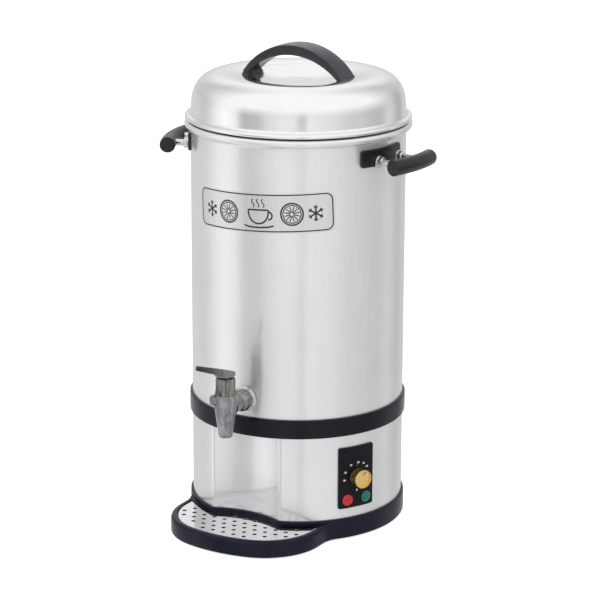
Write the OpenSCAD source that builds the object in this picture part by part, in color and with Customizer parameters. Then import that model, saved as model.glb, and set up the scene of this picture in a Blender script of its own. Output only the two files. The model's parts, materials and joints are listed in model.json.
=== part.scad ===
// Hot-drink boiler: a double-bodied steel urn on a plastic base with a drip
// tray, a self-closing lever tap, a domed lift-off lid, two side handles and a
// thermostat panel. Millimetres, +Z up. Origin on the urn's axis at the floor.
// The tap points along -Y; angles are counted from the tap towards +X.

/* [Body] */
// Outer radius of the vessel and of the skirt below it
body_r = 135; // [134:0.5:136]
// Sheet thickness of the vessel and the skirt
wall_t = 0.8; // [0.6:0.1:1]
// Height of the vessel's rolled rim above the floor
rim_z = 513.5; // [505:0.5:520]

/* [Lid] */
// Height of the dome's crown above the rim
crown_h = 57.9; // [54:0.1:62]
// Turn of the lid's handle from the left-right line, in degrees
lid_turn = -2; // [-10:1:20]
// Width of the lid's handle strap
strap_w = 34; // [24:1:38]

/* [Base] */
// Outer radius of the base ring
base_r = 138; // [137.5:0.5:139]
// Turn of the drip tray about the axis, in degrees
tray_turn = -2; // [-4:0.5:0]
// Height of the drip tray's rim above the floor
tray_h = 22; // [20:0.5:24]
// Half width of the drip tray
tray_hw = 101.5; // [100:0.5:103]
// Pitch of the holes in the drip grate
grate_pitch = 15; // [13:1:18]

/* [Side handles] */
// Angle of the right handle from the tap, in degrees
right_phi = 82.5; // [76:0.5:86]
// Angle of the left handle from the tap, in degrees
left_phi = -75; // [-78:0.5:-68]
// Height of the handles' rods above the floor
handle_z = 478.3; // [475:0.1:482]
// Radius at which the grips lie around the axis
grip_ring = 174; // [172:1:178]
// Distance of the left grip from the vessel's axis
left_ring = 164; // [160:1:178]
// Radius of a grip's round section
grip_r = 10; // [9:0.25:10.5]

/* [Tap] */
// Distance of the tap's upright from the axis
tap_r = 184; // [182:1:186]
// Height of the tap's shank above the floor
tap_z = 183.5; // [182:0.5:185]
// Upward tilt of the lever at rest, in degrees
lever_tilt = 20; // [16:1:22]
// Length of the lever from its pin to its tip
lever_len = 59.5; // [56:0.5:64]

/* [Control panel] */
// Angle of the panel's middle from the tap, in degrees
panel_phi = 61.4; // [58:0.2:64]
// Height of the knob's axis above the floor
knob_z = 80.5; // [78:0.5:83]
// Radius of the knob
knob_r = 11.9; // [11:0.1:12.5]

/* [Label] */
// Angle of the label's middle from the tap, in degrees
label_phi = 7.5; // [0:0.5:10]
// Arc length of the label
label_w = 189; // [170:1:200]
// Height of the label
label_h = 49.5; // [40:0.5:56]

/* [Hidden] */
$fn = 180;
in_r = body_r - wall_t;
band_r = 138.2;
skirt_z0 = 19;
skirt_z1 = 138;
vessel_z0 = 150;
ty = -tap_r;
pivot_y = ty - 8;
pivot_z = 232;
pin_drop = 8 * sin(15);
crown_z = rim_z + crown_h;
dome_r = 134.3;
dome_a = 39.9;
dome_n = 2.5;
dome_z = rim_z + 13.7;
dome_b = crown_z - dome_z;
dish_z = crown_z - 10.7;

// ---- helpers -------------------------------------------------------------

// points of a circular arc
function arc(cx, cy, r, a0, a1, n) =
  [for (i = [0:n]) let (a = a0 + (a1 - a0) * i / n) [cx + r * cos(a), cy + r * sin(a)]];
// rounded rectangle
function rrect(w, h, r, n = 6) = concat(
  arc(w / 2 - r, h / 2 - r, r, 0, 90, n), arc(-w / 2 + r, h / 2 - r, r, 90, 180, n),
  arc(-w / 2 + r, -h / 2 + r, r, 180, 270, n), arc(w / 2 - r, -h / 2 + r, r, 270, 360, n));
// niche in the front of the skirt above the tray: a bay of this circle
niche_y = -226;
niche_r = 111;
// plan outline of the tray, drawn in by e: two big corners and a flat front arc
corner = [24.5, -121.5];
corner_r = tray_hw - corner[0];
front_r = 101.5 + corner_r;
front_c = [0, -23];
corner_a = atan2(corner[1] - front_c[1], corner[0] - front_c[0]);
function tray(e) = concat(
  [[tray_hw - e, -60]],
  arc(corner[0], corner[1], corner_r - e, 0, corner_a, 14),
  arc(front_c[0], front_c[1], front_r - e, corner_a, -180 - corner_a, 8),
  arc(-corner[0], corner[1], corner_r - e, -180 - corner_a, -180, 14),
  [[-tray_hw + e, -60]]);
// point inside the tray outline drawn in by e
function in_tray(p, e) =
  abs(p[0]) <= tray_hw - e && p[1] < -60 && (
    p[1] > corner[1] ? true :
    abs(p[0]) > corner[0] && norm([abs(p[0]) - corner[0], p[1] - corner[1]]) > corner_r - e ? false :
    norm([p[0] - front_c[0], p[1] - front_c[1]]) <= front_r - e);

// local Z points outwards from the axis at angle phi and height z
module radial(phi, z) rotate([0, 0, phi]) translate([0, 0, z]) rotate([90, 0, 0]) children();
module tube(r1, r0, z0, z1) difference() {
  translate([0, 0, z0]) cylinder(r = r1, h = z1 - z0);
  translate([0, 0, z0 - 1]) cylinder(r = r0, h = z1 - z0 + 2);
}
module hex(r, h) cylinder(r = r, h = h, $fn = 6);
// a lead or thin tube swept along a smooth line through the points
function bend(p0, p1, p2, p3, t) = 0.5 * (2 * p1 + (p2 - p0) * t
  + (2 * p0 - 5 * p1 + 4 * p2 - p3) * t * t + (3 * p1 - p0 - 3 * p2 + p3) * t * t * t);
function smooth(pts, k) = let (m = len(pts) - 1) concat(
  [for (i = [0:m - 1], j = [0:k - 1]) bend(pts[max(i - 1, 0)], pts[i], pts[i + 1], pts[min(i + 2, m)], j / k)],
  [pts[m]]);
function unit(v) = v / norm(v);
module run(pts, r, s = 8) {
  path = smooth(pts, 5);
  n = len(path) - 1;
  ring = [for (i = [0:n], k = [0:s - 1])
    let (t = unit(path[min(i + 1, n)] - path[max(i - 1, 0)]), u = unit(cross([0.86, -0.5, 0.1], t)), v = cross(u, t), b = 360 * k / s)
    path[i] + r * (cos(b) * u + sin(b) * v)];
  polyhedron(ring, concat(
    [[for (k = [0:s - 1]) k]],
    [for (i = [0:n - 1], k = [0:s - 1]) [i * s + k, (i + 1) * s + k, (i + 1) * s + (k + 1) % s, i * s + (k + 1) % s]],
    [[for (k = [s - 1:-1:0]) n * s + k]]));
}

// ---- base ----------------------------------------------------------------

fil_r = 35;
fil_x = tray_hw + fil_r;
fil_y = -sqrt(pow(base_r + fil_r, 2) - pow(fil_x, 2));
fil_a = atan2(-fil_y, -fil_x);
module blend() polygon(concat(arc(fil_x, fil_y, fil_r, 180, fil_a, 8), [[92, -66], [92, fil_y]]));
module niche(r) translate([0, niche_y]) circle(r = r);
// tray floor plan drawn in by e: up to the circle back around the axis, and into
// the niche to the circle r
function floor_plan(e, back, r) = let (
    side = -acos((tray_hw - e) / back),
    sy = (back * back - r * r + niche_y * niche_y) / (2 * niche_y),
    sx = sqrt(back * back - sy * sy),
    a = atan2(sy, sx), b = atan2(sy - niche_y, sx)) concat(
  arc(corner[0], corner[1], corner_r - e, 0, corner_a, 14),
  arc(front_c[0], front_c[1], front_r - e, corner_a, -180 - corner_a, 8),
  arc(-corner[0], corner[1], corner_r - e, -180 - corner_a, -180, 14),
  arc(0, 0, back, -180 - side, -180 - a, 8),
  arc(0, niche_y, r, 180 - b, b, 24),
  arc(0, 0, back, a, side, 8));
module tray_plan(e, back, r) polygon(floor_plan(e, back, r));

feet_at = [for (a = [40, 140, 220, 320]) [129 * sin(a), -129 * cos(a)], [-58, -172], [58, -172]];
screw_at = [for (a = [0:60:300]) [116.5 * sin(a + 30), -116.5 * cos(a + 30)]];

module base_ring() color("#16181d") difference() {
  union() {
    translate([0, 0, 1]) cylinder(r = base_r, h = 26);
    translate([0, 0, 1]) linear_extrude(tray_h - 1) rotate(tray_turn) union() {
      polygon(tray(0));
      blend();
      mirror([1, 0]) blend();
    }
  }
  translate([0, 0, 0]) cylinder(r = 112, h = 40);
  translate([0, 0, 0]) cylinder(r = 121, h = 7.2);
  translate([0, 0, skirt_z0]) linear_extrude(20) difference() {
    circle(r = body_r + 0.1);
    rotate(tray_turn) niche(niche_r - 0.1);
  }
  translate([0, 0, tray_h + 0.5]) linear_extrude(20) rotate(tray_turn) niche(niche_r - 3);
  translate([0, 0, 8]) linear_extrude(30) rotate(tray_turn) tray_plan(11, 145, niche_r - 9);
  translate([0, 0, tray_h - 2.5]) linear_extrude(30) rotate(tray_turn) tray_plan(8, 141.5, niche_r - 3.5);
  for (p = feet_at) translate([p[0], p[1], 0]) cylinder(r = 7.1, h = 4);
  for (p = screw_at) translate([p[0], p[1], 5]) cylinder(r = 1.6, h = 10);
}

module bottom_plate() color("#b9bbbd") difference() {
  translate([0, 0, 6]) cylinder(r = 120.8, h = 1.2);
  for (p = screw_at) translate([p[0], p[1], 5]) cylinder(r = 1.8, h = 4);
  for (a = [0:30:330], r = [40, 52, 64]) rotate(a) translate([r, 0, 5]) cylinder(r = 2.2, h = 4);
}

module bottom_screws() color("#9a9c9f") for (p = screw_at) translate([p[0], p[1], 0]) {
  translate([0, 0, 3.8]) cylinder(r = 3.2, h = 2.2);
  translate([0, 0, 5.5]) cylinder(r = 1.55, h = 8.5);
}

module foot(h) rotate_extrude() polygon([[0, 0], [6, 0], [7, 1], [7, h], [0, h]]);
module rubber_feet() color("#222222") {
  for (p = feet_at) translate([p[0], p[1], 0]) foot(4);
  foot(6);
}

// a round shell with a bay pressed in above the tray, and a roof over the bay
module base_skirt() color("#d5d6d8") difference() {
  translate([0, 0, skirt_z0]) linear_extrude(skirt_z1 - skirt_z0) difference() {
    circle(r = body_r);
    rotate(tray_turn) niche(niche_r);
  }
  translate([0, 0, skirt_z0 - 1]) linear_extrude(skirt_z1 - skirt_z0 + 2) difference() {
    circle(r = in_r);
    rotate(tray_turn) niche(niche_r + wall_t);
  }
  radial(panel_phi, knob_z) translate([-19.5, -36.8, 100]) cube([39, 71.3, 60]);
  radial(180, 70) translate([0, 0, 100]) cylinder(r = 8.2, h = 60);
}

module trim_band() color("#1a1c20") union() {
  trim_ring();
  translate([0, 0, skirt_z1]) linear_extrude(1.5) intersection() {
    circle(r = body_r);
    rotate(tray_turn) niche(niche_r + 3);
  }
}
module trim_ring() rotate_extrude() polygon([
  [128, skirt_z1], [body_r + 0.1, skirt_z1], [body_r + 0.1, 136], [137.6, 136],
  [band_r, 137], [band_r, 159], [137.6, 160], [body_r + 0.1, 160],
  [body_r + 0.1, vessel_z0], [128, vessel_z0]]);

// ---- vessel --------------------------------------------------------------

handles = [right_phi, left_phi];
leg_x = 21;
leg_r = 4.25;
function leg_a(ring) = asin(leg_x / ring);
function grip_a(ring) = asin(40.9 / ring);
function screw_a(ring) = asin(33.6 / ring);
module handle_holes() for (a = handles, s = [-leg_x, leg_x])
  radial(a, handle_z) translate([s, 0, 120]) cylinder(r = 2.6, h = 30);

module vessel_wall() color("#d8d9db") difference() {
  rotate_extrude() polygon([
    [in_r, vessel_z0], [body_r, vessel_z0], [body_r, rim_z - 10], [136.5, rim_z - 9],
    [139.5, rim_z - 9], [141.8, rim_z - 7.2], [142.7, rim_z - 4.6], [142.2, rim_z - 2],
    [140.6, rim_z], [134.9, rim_z], [in_r, rim_z - 1]]);
  radial(0, tap_z) translate([0, 0, 100]) cylinder(r = 10.4, h = 60);
  handle_holes();
}

module vessel_bottom() color("#cfd0d2") rotate_extrude() polygon([
  [0, 151], [in_r - 0.05, 151], [in_r - 0.05, 162], [in_r - 0.85, 162], [in_r - 0.85, 152.2], [0, 152.2]]);

module label_film() color("#d9d6d8") intersection() {
  tube(body_r + 0.25, body_r + 0.05, 380, 470);
  radial(label_phi, 421) rotate([0, 0, 2.4]) translate([0, 0, 60]) linear_extrude(100)
    polygon(rrect(2 * body_r * sin(label_w / 2 / body_r * 180 / PI), label_h, 10));
}

// ---- side handles ----------------------------------------------------------

plate_r = 138.2;
plate_z = handle_z + 6.2;
// the plate reaches further towards the tap than behind the rod, by the angle off
module handle_plate(phi, off) color("#1b1c1f") difference() {
  intersection() {
    tube(plate_r, body_r + 0.01, plate_z - 15, plate_z + 15);
    radial(phi + off, plate_z) translate([0, 0, 60]) linear_extrude(100) polygon(rrect(74.5, 22, 5));
  }
  for (s = [-leg_x, leg_x]) radial(phi, handle_z) translate([s, 0, 120]) cylinder(r = 2.6, h = 30);
}

// a steel rod bent to a U: two legs and a bar inside the grip
module handle_bracket(phi, ring) color("#c9cacc") difference() {
  union() {
    for (s = [-leg_x, leg_x]) radial(phi, handle_z) {
      translate([s, 0, 130]) cylinder(r = leg_r, h = ring * cos(leg_a(ring)) - 130);
      translate([s, 0, ring * cos(leg_a(ring))]) sphere(r = leg_r + 0.04);
    }
    rotate([0, 0, phi - 90 - leg_a(ring)]) translate([0, 0, handle_z])
      rotate_extrude(angle = 2 * leg_a(ring)) translate([ring, 0]) circle(r = leg_r - 0.04);
  }
  translate([0, 0, handle_z - 20]) cylinder(r = plate_r, h = 40);
  for (s = [-leg_x, leg_x]) radial(phi, handle_z) translate([s, 0, 130]) cylinder(r = 2.5, h = 22);
}

module grip_half(phi, ring, up) difference() {
  rotate([0, 0, phi - 90 - grip_a(ring)]) translate([0, 0, handle_z]) rotate_extrude(angle = 2 * grip_a(ring))
    translate([ring, 0]) intersection() {
      circle(r = grip_r);
      translate([-15, up ? 0 : -20]) square([30, 20]);
    }
  rotate([0, 0, phi - 90 - leg_a(ring)]) translate([0, 0, handle_z])
    rotate_extrude(angle = 2 * leg_a(ring)) translate([ring, 0]) circle(r = leg_r + 0.1);
  for (s = [-leg_x, leg_x]) radial(phi, handle_z) {
    translate([s, 0, 145]) cylinder(r = leg_r + 0.1, h = ring * cos(leg_a(ring)) - 145);
    translate([s, 0, ring * cos(leg_a(ring))]) sphere(r = leg_r + 0.2);
  }
  for (s = [-1, 1]) rotate([0, 0, phi + s * screw_a(ring)]) translate([0, -ring, handle_z - 12]) {
    cylinder(r = 1.5, h = 18);
    cylinder(r = 2.9, h = 6);
  }
}

module handle_plate_right() handle_plate(right_phi, -4.5);
module handle_bracket_right() handle_bracket(right_phi, grip_ring);
module grip_upper_right() color("#202124") grip_half(right_phi, grip_ring, true);
module grip_lower_right() color("#202124") grip_half(right_phi, grip_ring, false);
module handle_plate_left() handle_plate(left_phi, 4.5);
module handle_bracket_left() rotate([0, 0, left_phi - right_phi]) handle_bracket(right_phi, left_ring);
module grip_upper_left() color("#202124") grip_half(left_phi, left_ring, true);
module grip_lower_left() color("#202124") grip_half(left_phi, left_ring, false);

module handle_screws() color("#b5b7b9") for (a = handles, s = [-leg_x, leg_x])
  intersection() {
    radial(a, handle_z) translate([s, 0, 0]) union() {
      intersection() {
        translate([0, 0, 128]) cylinder(r = 5, h = 10);
        rotate([-90, 0, 0]) translate([-s, 0, -20]) cylinder(r = in_r - 0.02, h = 40);
      }
      translate([0, 0, 129]) cylinder(r = 2.45, h = 20);
    }
    tube(160, 100, handle_z - 20, handle_z + 20);
  }

module handle_nuts() color("#c2c3c5") for (a = handles, s = [-leg_x, leg_x])
  difference() {
    radial(a, handle_z) translate([s, 0, 130]) hex(7, 12.5);
    radial(a, handle_z) translate([s, 0, 120]) cylinder(r = leg_r + 0.03, h = 30);
    translate([0, 0, handle_z - 20]) cylinder(r = plate_r + 0.02, h = 40);
  }

module grip_screws() color("#55575a") for (h = [[right_phi, grip_ring], [left_phi, left_ring]], s = [-1, 1])
  rotate([0, 0, h[0] + s * screw_a(h[1])]) translate([0, -h[1], handle_z]) {
    translate([0, 0, -8.4]) cylinder(r = 2.7, h = 2.4);
    translate([0, 0, -7]) cylinder(r = 1.45, h = 12);
  }

// ---- tap -------------------------------------------------------------------

module tap_body() color("#5c5a5c") difference() {
  union() {
    translate([0, ty, 0]) rotate_extrude() polygon([
      [0, 148], [7.4, 148], [8.4, 149], [10.6, 164], [13.2, 180], [15.4, 194], [15.6, 198], [14.6, 200.5], [13.4, 201.5], [13.4, 203], [0, 203]]);
    translate([0, 0, tap_z]) rotate([90, 0, 0]) translate([0, 0, 106]) cylinder(r = 10.2, h = tap_r - 106);
    translate([0, 0, tap_z]) rotate([90, 0, 0]) rotate_extrude() polygon([
      [0, 139], [13, 139], [13.8, 142], [13.9, 145.5], [13, 149.5], [10.5, 153], [0, 153]]);
    translate([0, ty, 196]) rotate([0, 0, -38]) rotate([90, 0, 0]) cylinder(r = 5.2, h = 19.5);
  }
  translate([0, ty, 0]) rotate_extrude() polygon([
    [0, 140], [6.5, 140], [6.5, 174], [9.8, 174], [9.8, 178], [11, 184], [11, 210], [0, 210]]);
  translate([0, 0, tap_z]) rotate([90, 0, 0]) translate([0, 0, 100]) cylinder(r = 7, h = tap_r - 100);
}

module tap_gasket() color("#3a3a3a") difference() {
  translate([0, 0, tap_z]) rotate([90, 0, 0]) translate([0, 0, 130]) cylinder(r = 14, h = 6.6);
  translate([0, 0, tap_z]) rotate([90, 0, 0]) translate([0, 0, 120]) cylinder(r = 10.25, h = 30);
  translate([0, 0, tap_z - 20]) cylinder(r = body_r + 0.01, h = 40);
}

module tap_washer() color("#d2d4d6") difference() {
  translate([0, 0, tap_z]) rotate([90, 0, 0]) rotate_extrude() polygon([
    [10.25, 136.6], [15.3, 136.6], [15.8, 137.2], [15.3, 138.2], [13.2, 139], [10.25, 139]]);
}

module tap_inner_gasket() color("#c8c4bc") intersection() {
  difference() {
    translate([0, 0, tap_z]) rotate([90, 0, 0]) translate([0, 0, 130.5]) cylinder(r = 15, h = 6);
    translate([0, 0, tap_z]) rotate([90, 0, 0]) translate([0, 0, 120]) cylinder(r = 10.25, h = 30);
  }
  translate([0, 0, tap_z - 20]) cylinder(r = in_r - 0.9, h = 40);
}

module tap_lock_nut() color("#c9cacc") difference() {
  translate([0, 0, tap_z]) rotate([90, 0, 0]) translate([0, 0, 122.5]) hex(17, 8);
  translate([0, 0, tap_z]) rotate([90, 0, 0]) translate([0, 0, 110]) cylinder(r = 10.25, h = 30);
}

module tap_bonnet() color("#565457") difference() {
  union() {
    translate([0, ty, 0]) rotate_extrude() polygon([
      [0, 195], [10.9, 195], [10.9, 203], [12.6, 203], [12.9, 204], [12.9, 207], [12.3, 208],
      [12.3, 222.5], [11.3, 224], [0, 224]]);
    for (s = [-6.7, 5.1]) translate([s, pivot_y, pivot_z]) rotate([0, 90, 0]) cylinder(r = 2.8, h = 1.6);
    for (s = [-6.7, 5.1]) translate([s, pivot_y - 2.4, 219]) cube([1.6, 4.8, 13]);
  }
  translate([0, ty, 190]) cylinder(r = 8.5, h = 30);
  translate([0, ty, 200]) cylinder(r = 2.56, h = 40);
  translate([-20, pivot_y, pivot_z]) rotate([0, 90, 0]) cylinder(r = 1.5, h = 40);
}

module lever_pin() color("#bfc0c2") translate([-6.75, pivot_y, pivot_z]) rotate([0, 90, 0]) cylinder(r = 1.5, h = 13.5);

module tap_stem() color("#c4c5c7") union() {
  translate([0, ty, 176.5]) cylinder(r = 2.5, h = 55);
  translate([-7.2, ty, pivot_z - pin_drop]) rotate([0, 90, 0]) cylinder(r = 1.2, h = 14.4);
}

module seat_cup() color("#e4dfd2") translate([0, ty, 0]) rotate_extrude() polygon([
  [0, 174], [9.2, 174], [9.2, 176], [6, 180], [2.5, 180], [2.5, 176.5], [0, 176.5]]);

// coil spring as a swept tube
coil_r = 6.4;
wire_r = 0.7;
coil_z0 = 181;
coil_z1 = 219;
coil_n = 9;
function coil_pt(i, n) = let (a = 360 * coil_n * i / n)
  [coil_r * cos(a), ty + coil_r * sin(a), coil_z0 + (coil_z1 - coil_z0) * i / n];
module tap_spring() color("#b8babd") {
  n = coil_n * 18;
  s = 6;
  pts = [for (i = [0:n], k = [0:s - 1])
    let (a = 360 * coil_n * i / n, b = 360 * k / s, c = coil_pt(i, n))
    [c[0] + wire_r * cos(b) * cos(a), c[1] + wire_r * cos(b) * sin(a), c[2] + wire_r * sin(b)]];
  faces = concat(
    [[for (k = [0:s - 1]) k]],
    [for (i = [0:n - 1], k = [0:s - 1]) [i * s + k, (i + 1) * s + k, (i + 1) * s + (k + 1) % s, i * s + (k + 1) % s]],
    [[for (k = [s - 1:-1:0]) n * s + k]]);
  polyhedron(pts, faces);
}

// a hood over the bonnet's top that runs out into a straight bar
hood = concat(arc(0, 8, 12.3, 0, 180, 24), arc(0, 5.5, 12.3, 180, 360, 24));
module tap_lever() color("#3f3e41") translate([0, pivot_y, pivot_z]) difference() {
  union() {
    difference() {
      intersection() {
        translate([0, 0, -4.9]) linear_extrude(20) polygon(hood);
        rotate([-lever_tilt, 0, 0]) translate([-15, -30, -30]) cube([30, 80, 34.4]);
      }
      rotate([-lever_tilt, 0, 0]) translate([-9.7, -4, -30]) cube([19.4, 19.3, 33.2]);
    }
    translate([-4.9, 0, 0]) rotate([0, 90, 0]) cylinder(r = 4.1, h = 9.8);
    rotate([-lever_tilt, 0, 0]) {
      for (s = [-7.3, 4.2]) translate([s, 4.6, -3.2]) cube([3.1, 8, 7]);
      translate([-4.25, 0, 0]) rotate([90, 0, 90]) linear_extrude(8.5) polygon([
        [-lever_len, -2.2], [1 - lever_len, -3], [0, -4.2], [0, 4.2], [-8, 4.2], [1 - lever_len, 2.9], [-lever_len, 2.2]]);
    }
  }
  translate([-20, 0, 0]) rotate([0, 90, 0]) cylinder(r = 1.55, h = 40);
  rotate([-lever_tilt, 0, 0]) translate([-8, 6.3, -0.88]) cube([16, 3.7, 3.2]);
}

// ---- control panel ---------------------------------------------------------

panel_out = 137.6;
module on_panel(x, dz) radial(panel_phi, knob_z + dz) translate([x, 0, 0]) children();
lamp_a = 5.7;
lamp_dz = -29.4;

module control_panel() color("#15161a") difference() {
  union() {
    intersection() {
      tube(panel_out, body_r + 0.02, 20, 130);
      radial(panel_phi, knob_z - 0.5) translate([0, 0, 60]) linear_extrude(100) polygon(rrect(50.4, 80, 2.2));
    }
    intersection() {
      translate([0, 0, 20]) cylinder(r = 136.5, h = 110);
      on_panel(-19, 0) translate([0, -34, 131]) cube([38, 68, 8]);
    }
  }
  on_panel(0, 0) translate([0, 0, 120]) cylinder(r = 5.05, h = 30);
  for (s = [-1, 1]) radial(panel_phi + s * lamp_a, knob_z + lamp_dz) translate([0, 0, 110]) cylinder(r = 6.05, h = 40);
}

module thermostat_body() color("#d8d3c4") difference() {
  union() {
    on_panel(-17, 0) translate([0, -14, 107]) cube([34, 31, 24]);
    on_panel(0, 0) translate([0, 0, 125]) cylinder(r = 5, h = 14.5);
    for (s = [-10, 6]) on_panel(s, 0) translate([0, -3, 99]) cube([4, 0.8, 8]);
  }
  on_panel(0, 0) translate([0, 0, 132]) cylinder(r = 3.05, h = 20);
}

module thermostat_nut() color("#c2c3c5") difference() {
  on_panel(0, 0) translate([0, 0, 134]) hex(8, 6.4);
  translate([0, 0, knob_z - 20]) cylinder(r = panel_out + 0.01, h = 40);
  on_panel(0, 0) translate([0, 0, 120]) cylinder(r = 5.02, h = 40);
}

module thermostat_spindle() color("#b9bbbd") on_panel(0, 0) translate([0, 0, 132.5]) cylinder(r = 3, h = knob_f - 1.6 - 132.5);

knob_z0 = 138.9;
knob_z1 = 152.5;
// floor of the knob's cup
knob_f = 149;
module knob() color("#c9a04a") difference() {
  on_panel(0, 0) rotate_extrude() polygon([
    [3, 140.5], [9.4, 140.5], [9.4, knob_z0], [knob_r, knob_z0], [knob_r, knob_z1 - 0.5], [knob_r - 0.5, knob_z1],
    [knob_r - 1.2, knob_z1], [knob_r - 1.5, knob_f], [0, knob_f], [0, knob_f - 1.6], [3, knob_f - 1.6]]);
  on_panel(0, 0) rotate([0, 0, -32]) translate([-0.8, 5, knob_f - 0.6]) cube([1.6, 4.6, 2]);
}

module knob_pointer() color("#b5201f") on_panel(0, 0) rotate([0, 0, -32])
  translate([-0.75, 5.05, knob_f - 0.6]) cube([1.5, 4.5, 1]);

module lamp_lens(s) difference() {
  radial(panel_phi + s * lamp_a, knob_z + lamp_dz) rotate_extrude() polygon([
    [0, 135], [7.4, 135], [7.4, 138.6], [6.6, 139.8], [4, 140.5], [0, 140.7]]);
  translate([0, 0, knob_z + lamp_dz - 20]) cylinder(r = panel_out + 0.01, h = 40);
}
module red_lamp_lens() color("#d8322a") lamp_lens(-1);
module green_lamp_lens() color("#1d7a62") lamp_lens(1);
module lamp_bodies() color("#e3e0d8") for (s = [-1, 1]) intersection() {
  radial(panel_phi + s * lamp_a, knob_z + lamp_dz) union() {
    translate([0, 0, 120]) cylinder(r = 6, h = 20);
    for (x = [-3, 2]) translate([x, -2, 112]) cube([0.8, 4, 9]);
  }
  translate([0, 0, knob_z + lamp_dz - 20]) cylinder(r = panel_out - 0.02, h = 40);
}

// ---- heating and wiring ------------------------------------------------------

module heating_plate() color("#b3b5b7") translate([0, 0, 145]) cylinder(r = 112, h = 6);

module heating_element() color("#6b5f57") union() {
  rotate([0, 0, 105]) translate([0, 0, 140.7]) rotate_extrude(angle = 330) translate([80, 0]) circle(r = 4.2);
  for (a = [105, 435]) rotate([0, 0, a]) translate([80, 0, 122]) cylinder(r = 3, h = 17);
}

module thermal_cutout() color("#2a2a2c") {
  translate([0, -20, 137]) cylinder(r = 9, h = 8);
  for (s = [-6, 4.8]) translate([s, -23, 129]) cube([1.2, 6, 8.5]);
}

module thermostat_bulb() color("#b87b4a") translate([-36, 40, 141.2]) rotate([0, 90, 0]) cylinder(r = 3.2, h = 72);

module bulb_clip() color("#a9abad") difference() {
  for (x = [-26, 18]) translate([x, 34, 137]) cube([8, 12, 8]);
  translate([-60, 40, 141.2]) rotate([0, 90, 0]) cylinder(r = 3.22, h = 120);
}

module capillary_tube() color("#b87b4a")
  run([[36.2, 40, 141.2], [52, 34, 133], [72, 8, 124], [90, -24, 112], [104, -57, 106], [104, -57, knob_z + 17.1]], 1.1);

module terminal_block() color("#ded9cc") difference() {
  translate([-24, 68, 7.2]) cube([48, 22, 18]);
  for (x = [-18:9:18]) {
    translate([x, 60, 14]) rotate([-90, 0, 0]) cylinder(r = 2, h = 12);
    translate([x, 79, 18]) cylinder(r = 2.2, h = 12);
  }
}

// leads between the terminal block, the thermostat, the cut-out, the heater and the lamps
module wiring() color("#7a3b2a") {
  run([[-18, 67, 14], [-30, 40, 18], [-20, 20, 60], [-20.7, 77.3, 98], [-20.7, 77.3, 121.8]], 1.4);
  run([[-9, 67, 14], [-8, 30, 20], [-5.4, -20, 70], [-5.4, -20, 128.8]], 1.4);
  run([[0, 67, 14], [6, 20, 30], [5.4, -20, 100], [5.4, -20, 128.8]], 1.4);
  run([[9, 67, 14], [30, 30, 30], [60, -10, 60], [76, -44, 80]], 1.4);
  run([[18, 67, 14], [52, 30, 20], [86, -48, 51]], 1.4);
}

module cable_gland() color("#1d1e21") difference() {
  union() {
    radial(180, 70) translate([0, 0, 120]) cylinder(r = 8, h = 25);
    difference() {
      radial(180, 70) translate([0, 0, 130]) hex(12.5, 11);
      translate([0, 0, 40]) cylinder(r = body_r + 0.01, h = 60);
    }
  }
  radial(180, 70) translate([0, 0, 100]) cylinder(r = 4.6, h = 60);
}
module gland_cap() color("#1d1e21") difference() {
  radial(180, 70) rotate_extrude() polygon([
    [4, 155], [7.5, 155], [10, 152], [11.2, 149], [11.2, 141.1], [8.05, 141.1], [8.05, 145.2], [4, 145.2]]);
}
module gland_nut() color("#26272a") difference() {
  radial(180, 70) translate([0, 0, 127]) hex(12, 5.5);
  radial(180, 70) translate([0, 0, 100]) cylinder(r = 8.03, h = 60);
}

// ---- lid ---------------------------------------------------------------------

function dome(a, b, r, n) = [for (i = [0:n]) let (t = 90 * i / n)
  [r - a + a * pow(cos(t), 2 / dome_n), dome_z + b * pow(sin(t), 2 / dome_n)]];
function rev(v) = [for (i = [len(v) - 1:-1:0]) v[i]];
lid_top = concat(dome(dome_a, dome_b, dome_r, 14),
  [[82, crown_z - 0.7], [74, crown_z - 1.8], [70, crown_z - 2.8], [24, dish_z], [0, dish_z]]);
lid_under = concat(dome(dome_a, dome_b - 1, dome_r - 1.6, 14),
  [[82, crown_z - 1.7], [74.2, crown_z - 2.8], [70.2, crown_z - 3.8], [24.2, dish_z - 1], [0, dish_z - 1]]);

module lid_shell() color("#dcdddf") difference() {
  rotate_extrude() polygon(concat(
    [[dome_r - 1.6, rim_z - 7], [dome_r - 0.9, rim_z - 7], [dome_r - 0.9, rim_z], [140.4, rim_z], [142, rim_z + 1.2],
     [142.5, rim_z + 2.8], [142, rim_z + 4.6], [140.4, rim_z + 5.9], [137.4, rim_z + 6.4], [135.4, rim_z + 6.9], [134.5, rim_z + 8]],
    lid_top, rev(lid_under)));
  for (s = lid_screw_x) rotate([0, 0, lid_turn]) translate([s, 0, crown_z - 20]) cylinder(r = 2.1, h = 30);
}

// everything from the lid's top face down, and from its under face up
module below_lid() rotate_extrude() polygon(concat([[0, crown_z - 40], [dome_r - 20, crown_z - 40]],
  [for (p = lid_top) if (p[0] < dome_r - 20) p]));
module above_under() rotate_extrude() polygon(concat([[0, crown_z + 20], [90, crown_z + 20]],
  [for (p = lid_under) if (p[0] < 90) p]));

strap_top = crown_z + 36;
strap_x = 0;
lid_screw_x = [strap_x - 66.5, strap_x + 66.5];
module lid_handle() color("#26272b") difference() {
  rotate([0, 0, lid_turn]) rotate([90, 0, 0]) translate([strap_x, 0, -strap_w / 2]) linear_extrude(strap_w) intersection() {
    difference() {
      translate([0, strap_top - 85.4]) circle(r = 85.4);
      translate([0, strap_top - 13.1 - 90.8]) circle(r = 90.8);
    }
    translate([-71.5, crown_z - 8]) square([143, 60]);
  }
  below_lid();
  for (s = lid_screw_x) rotate([0, 0, lid_turn]) translate([s, 0, crown_z - 20]) cylinder(r = 2, h = 22);
}

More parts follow.
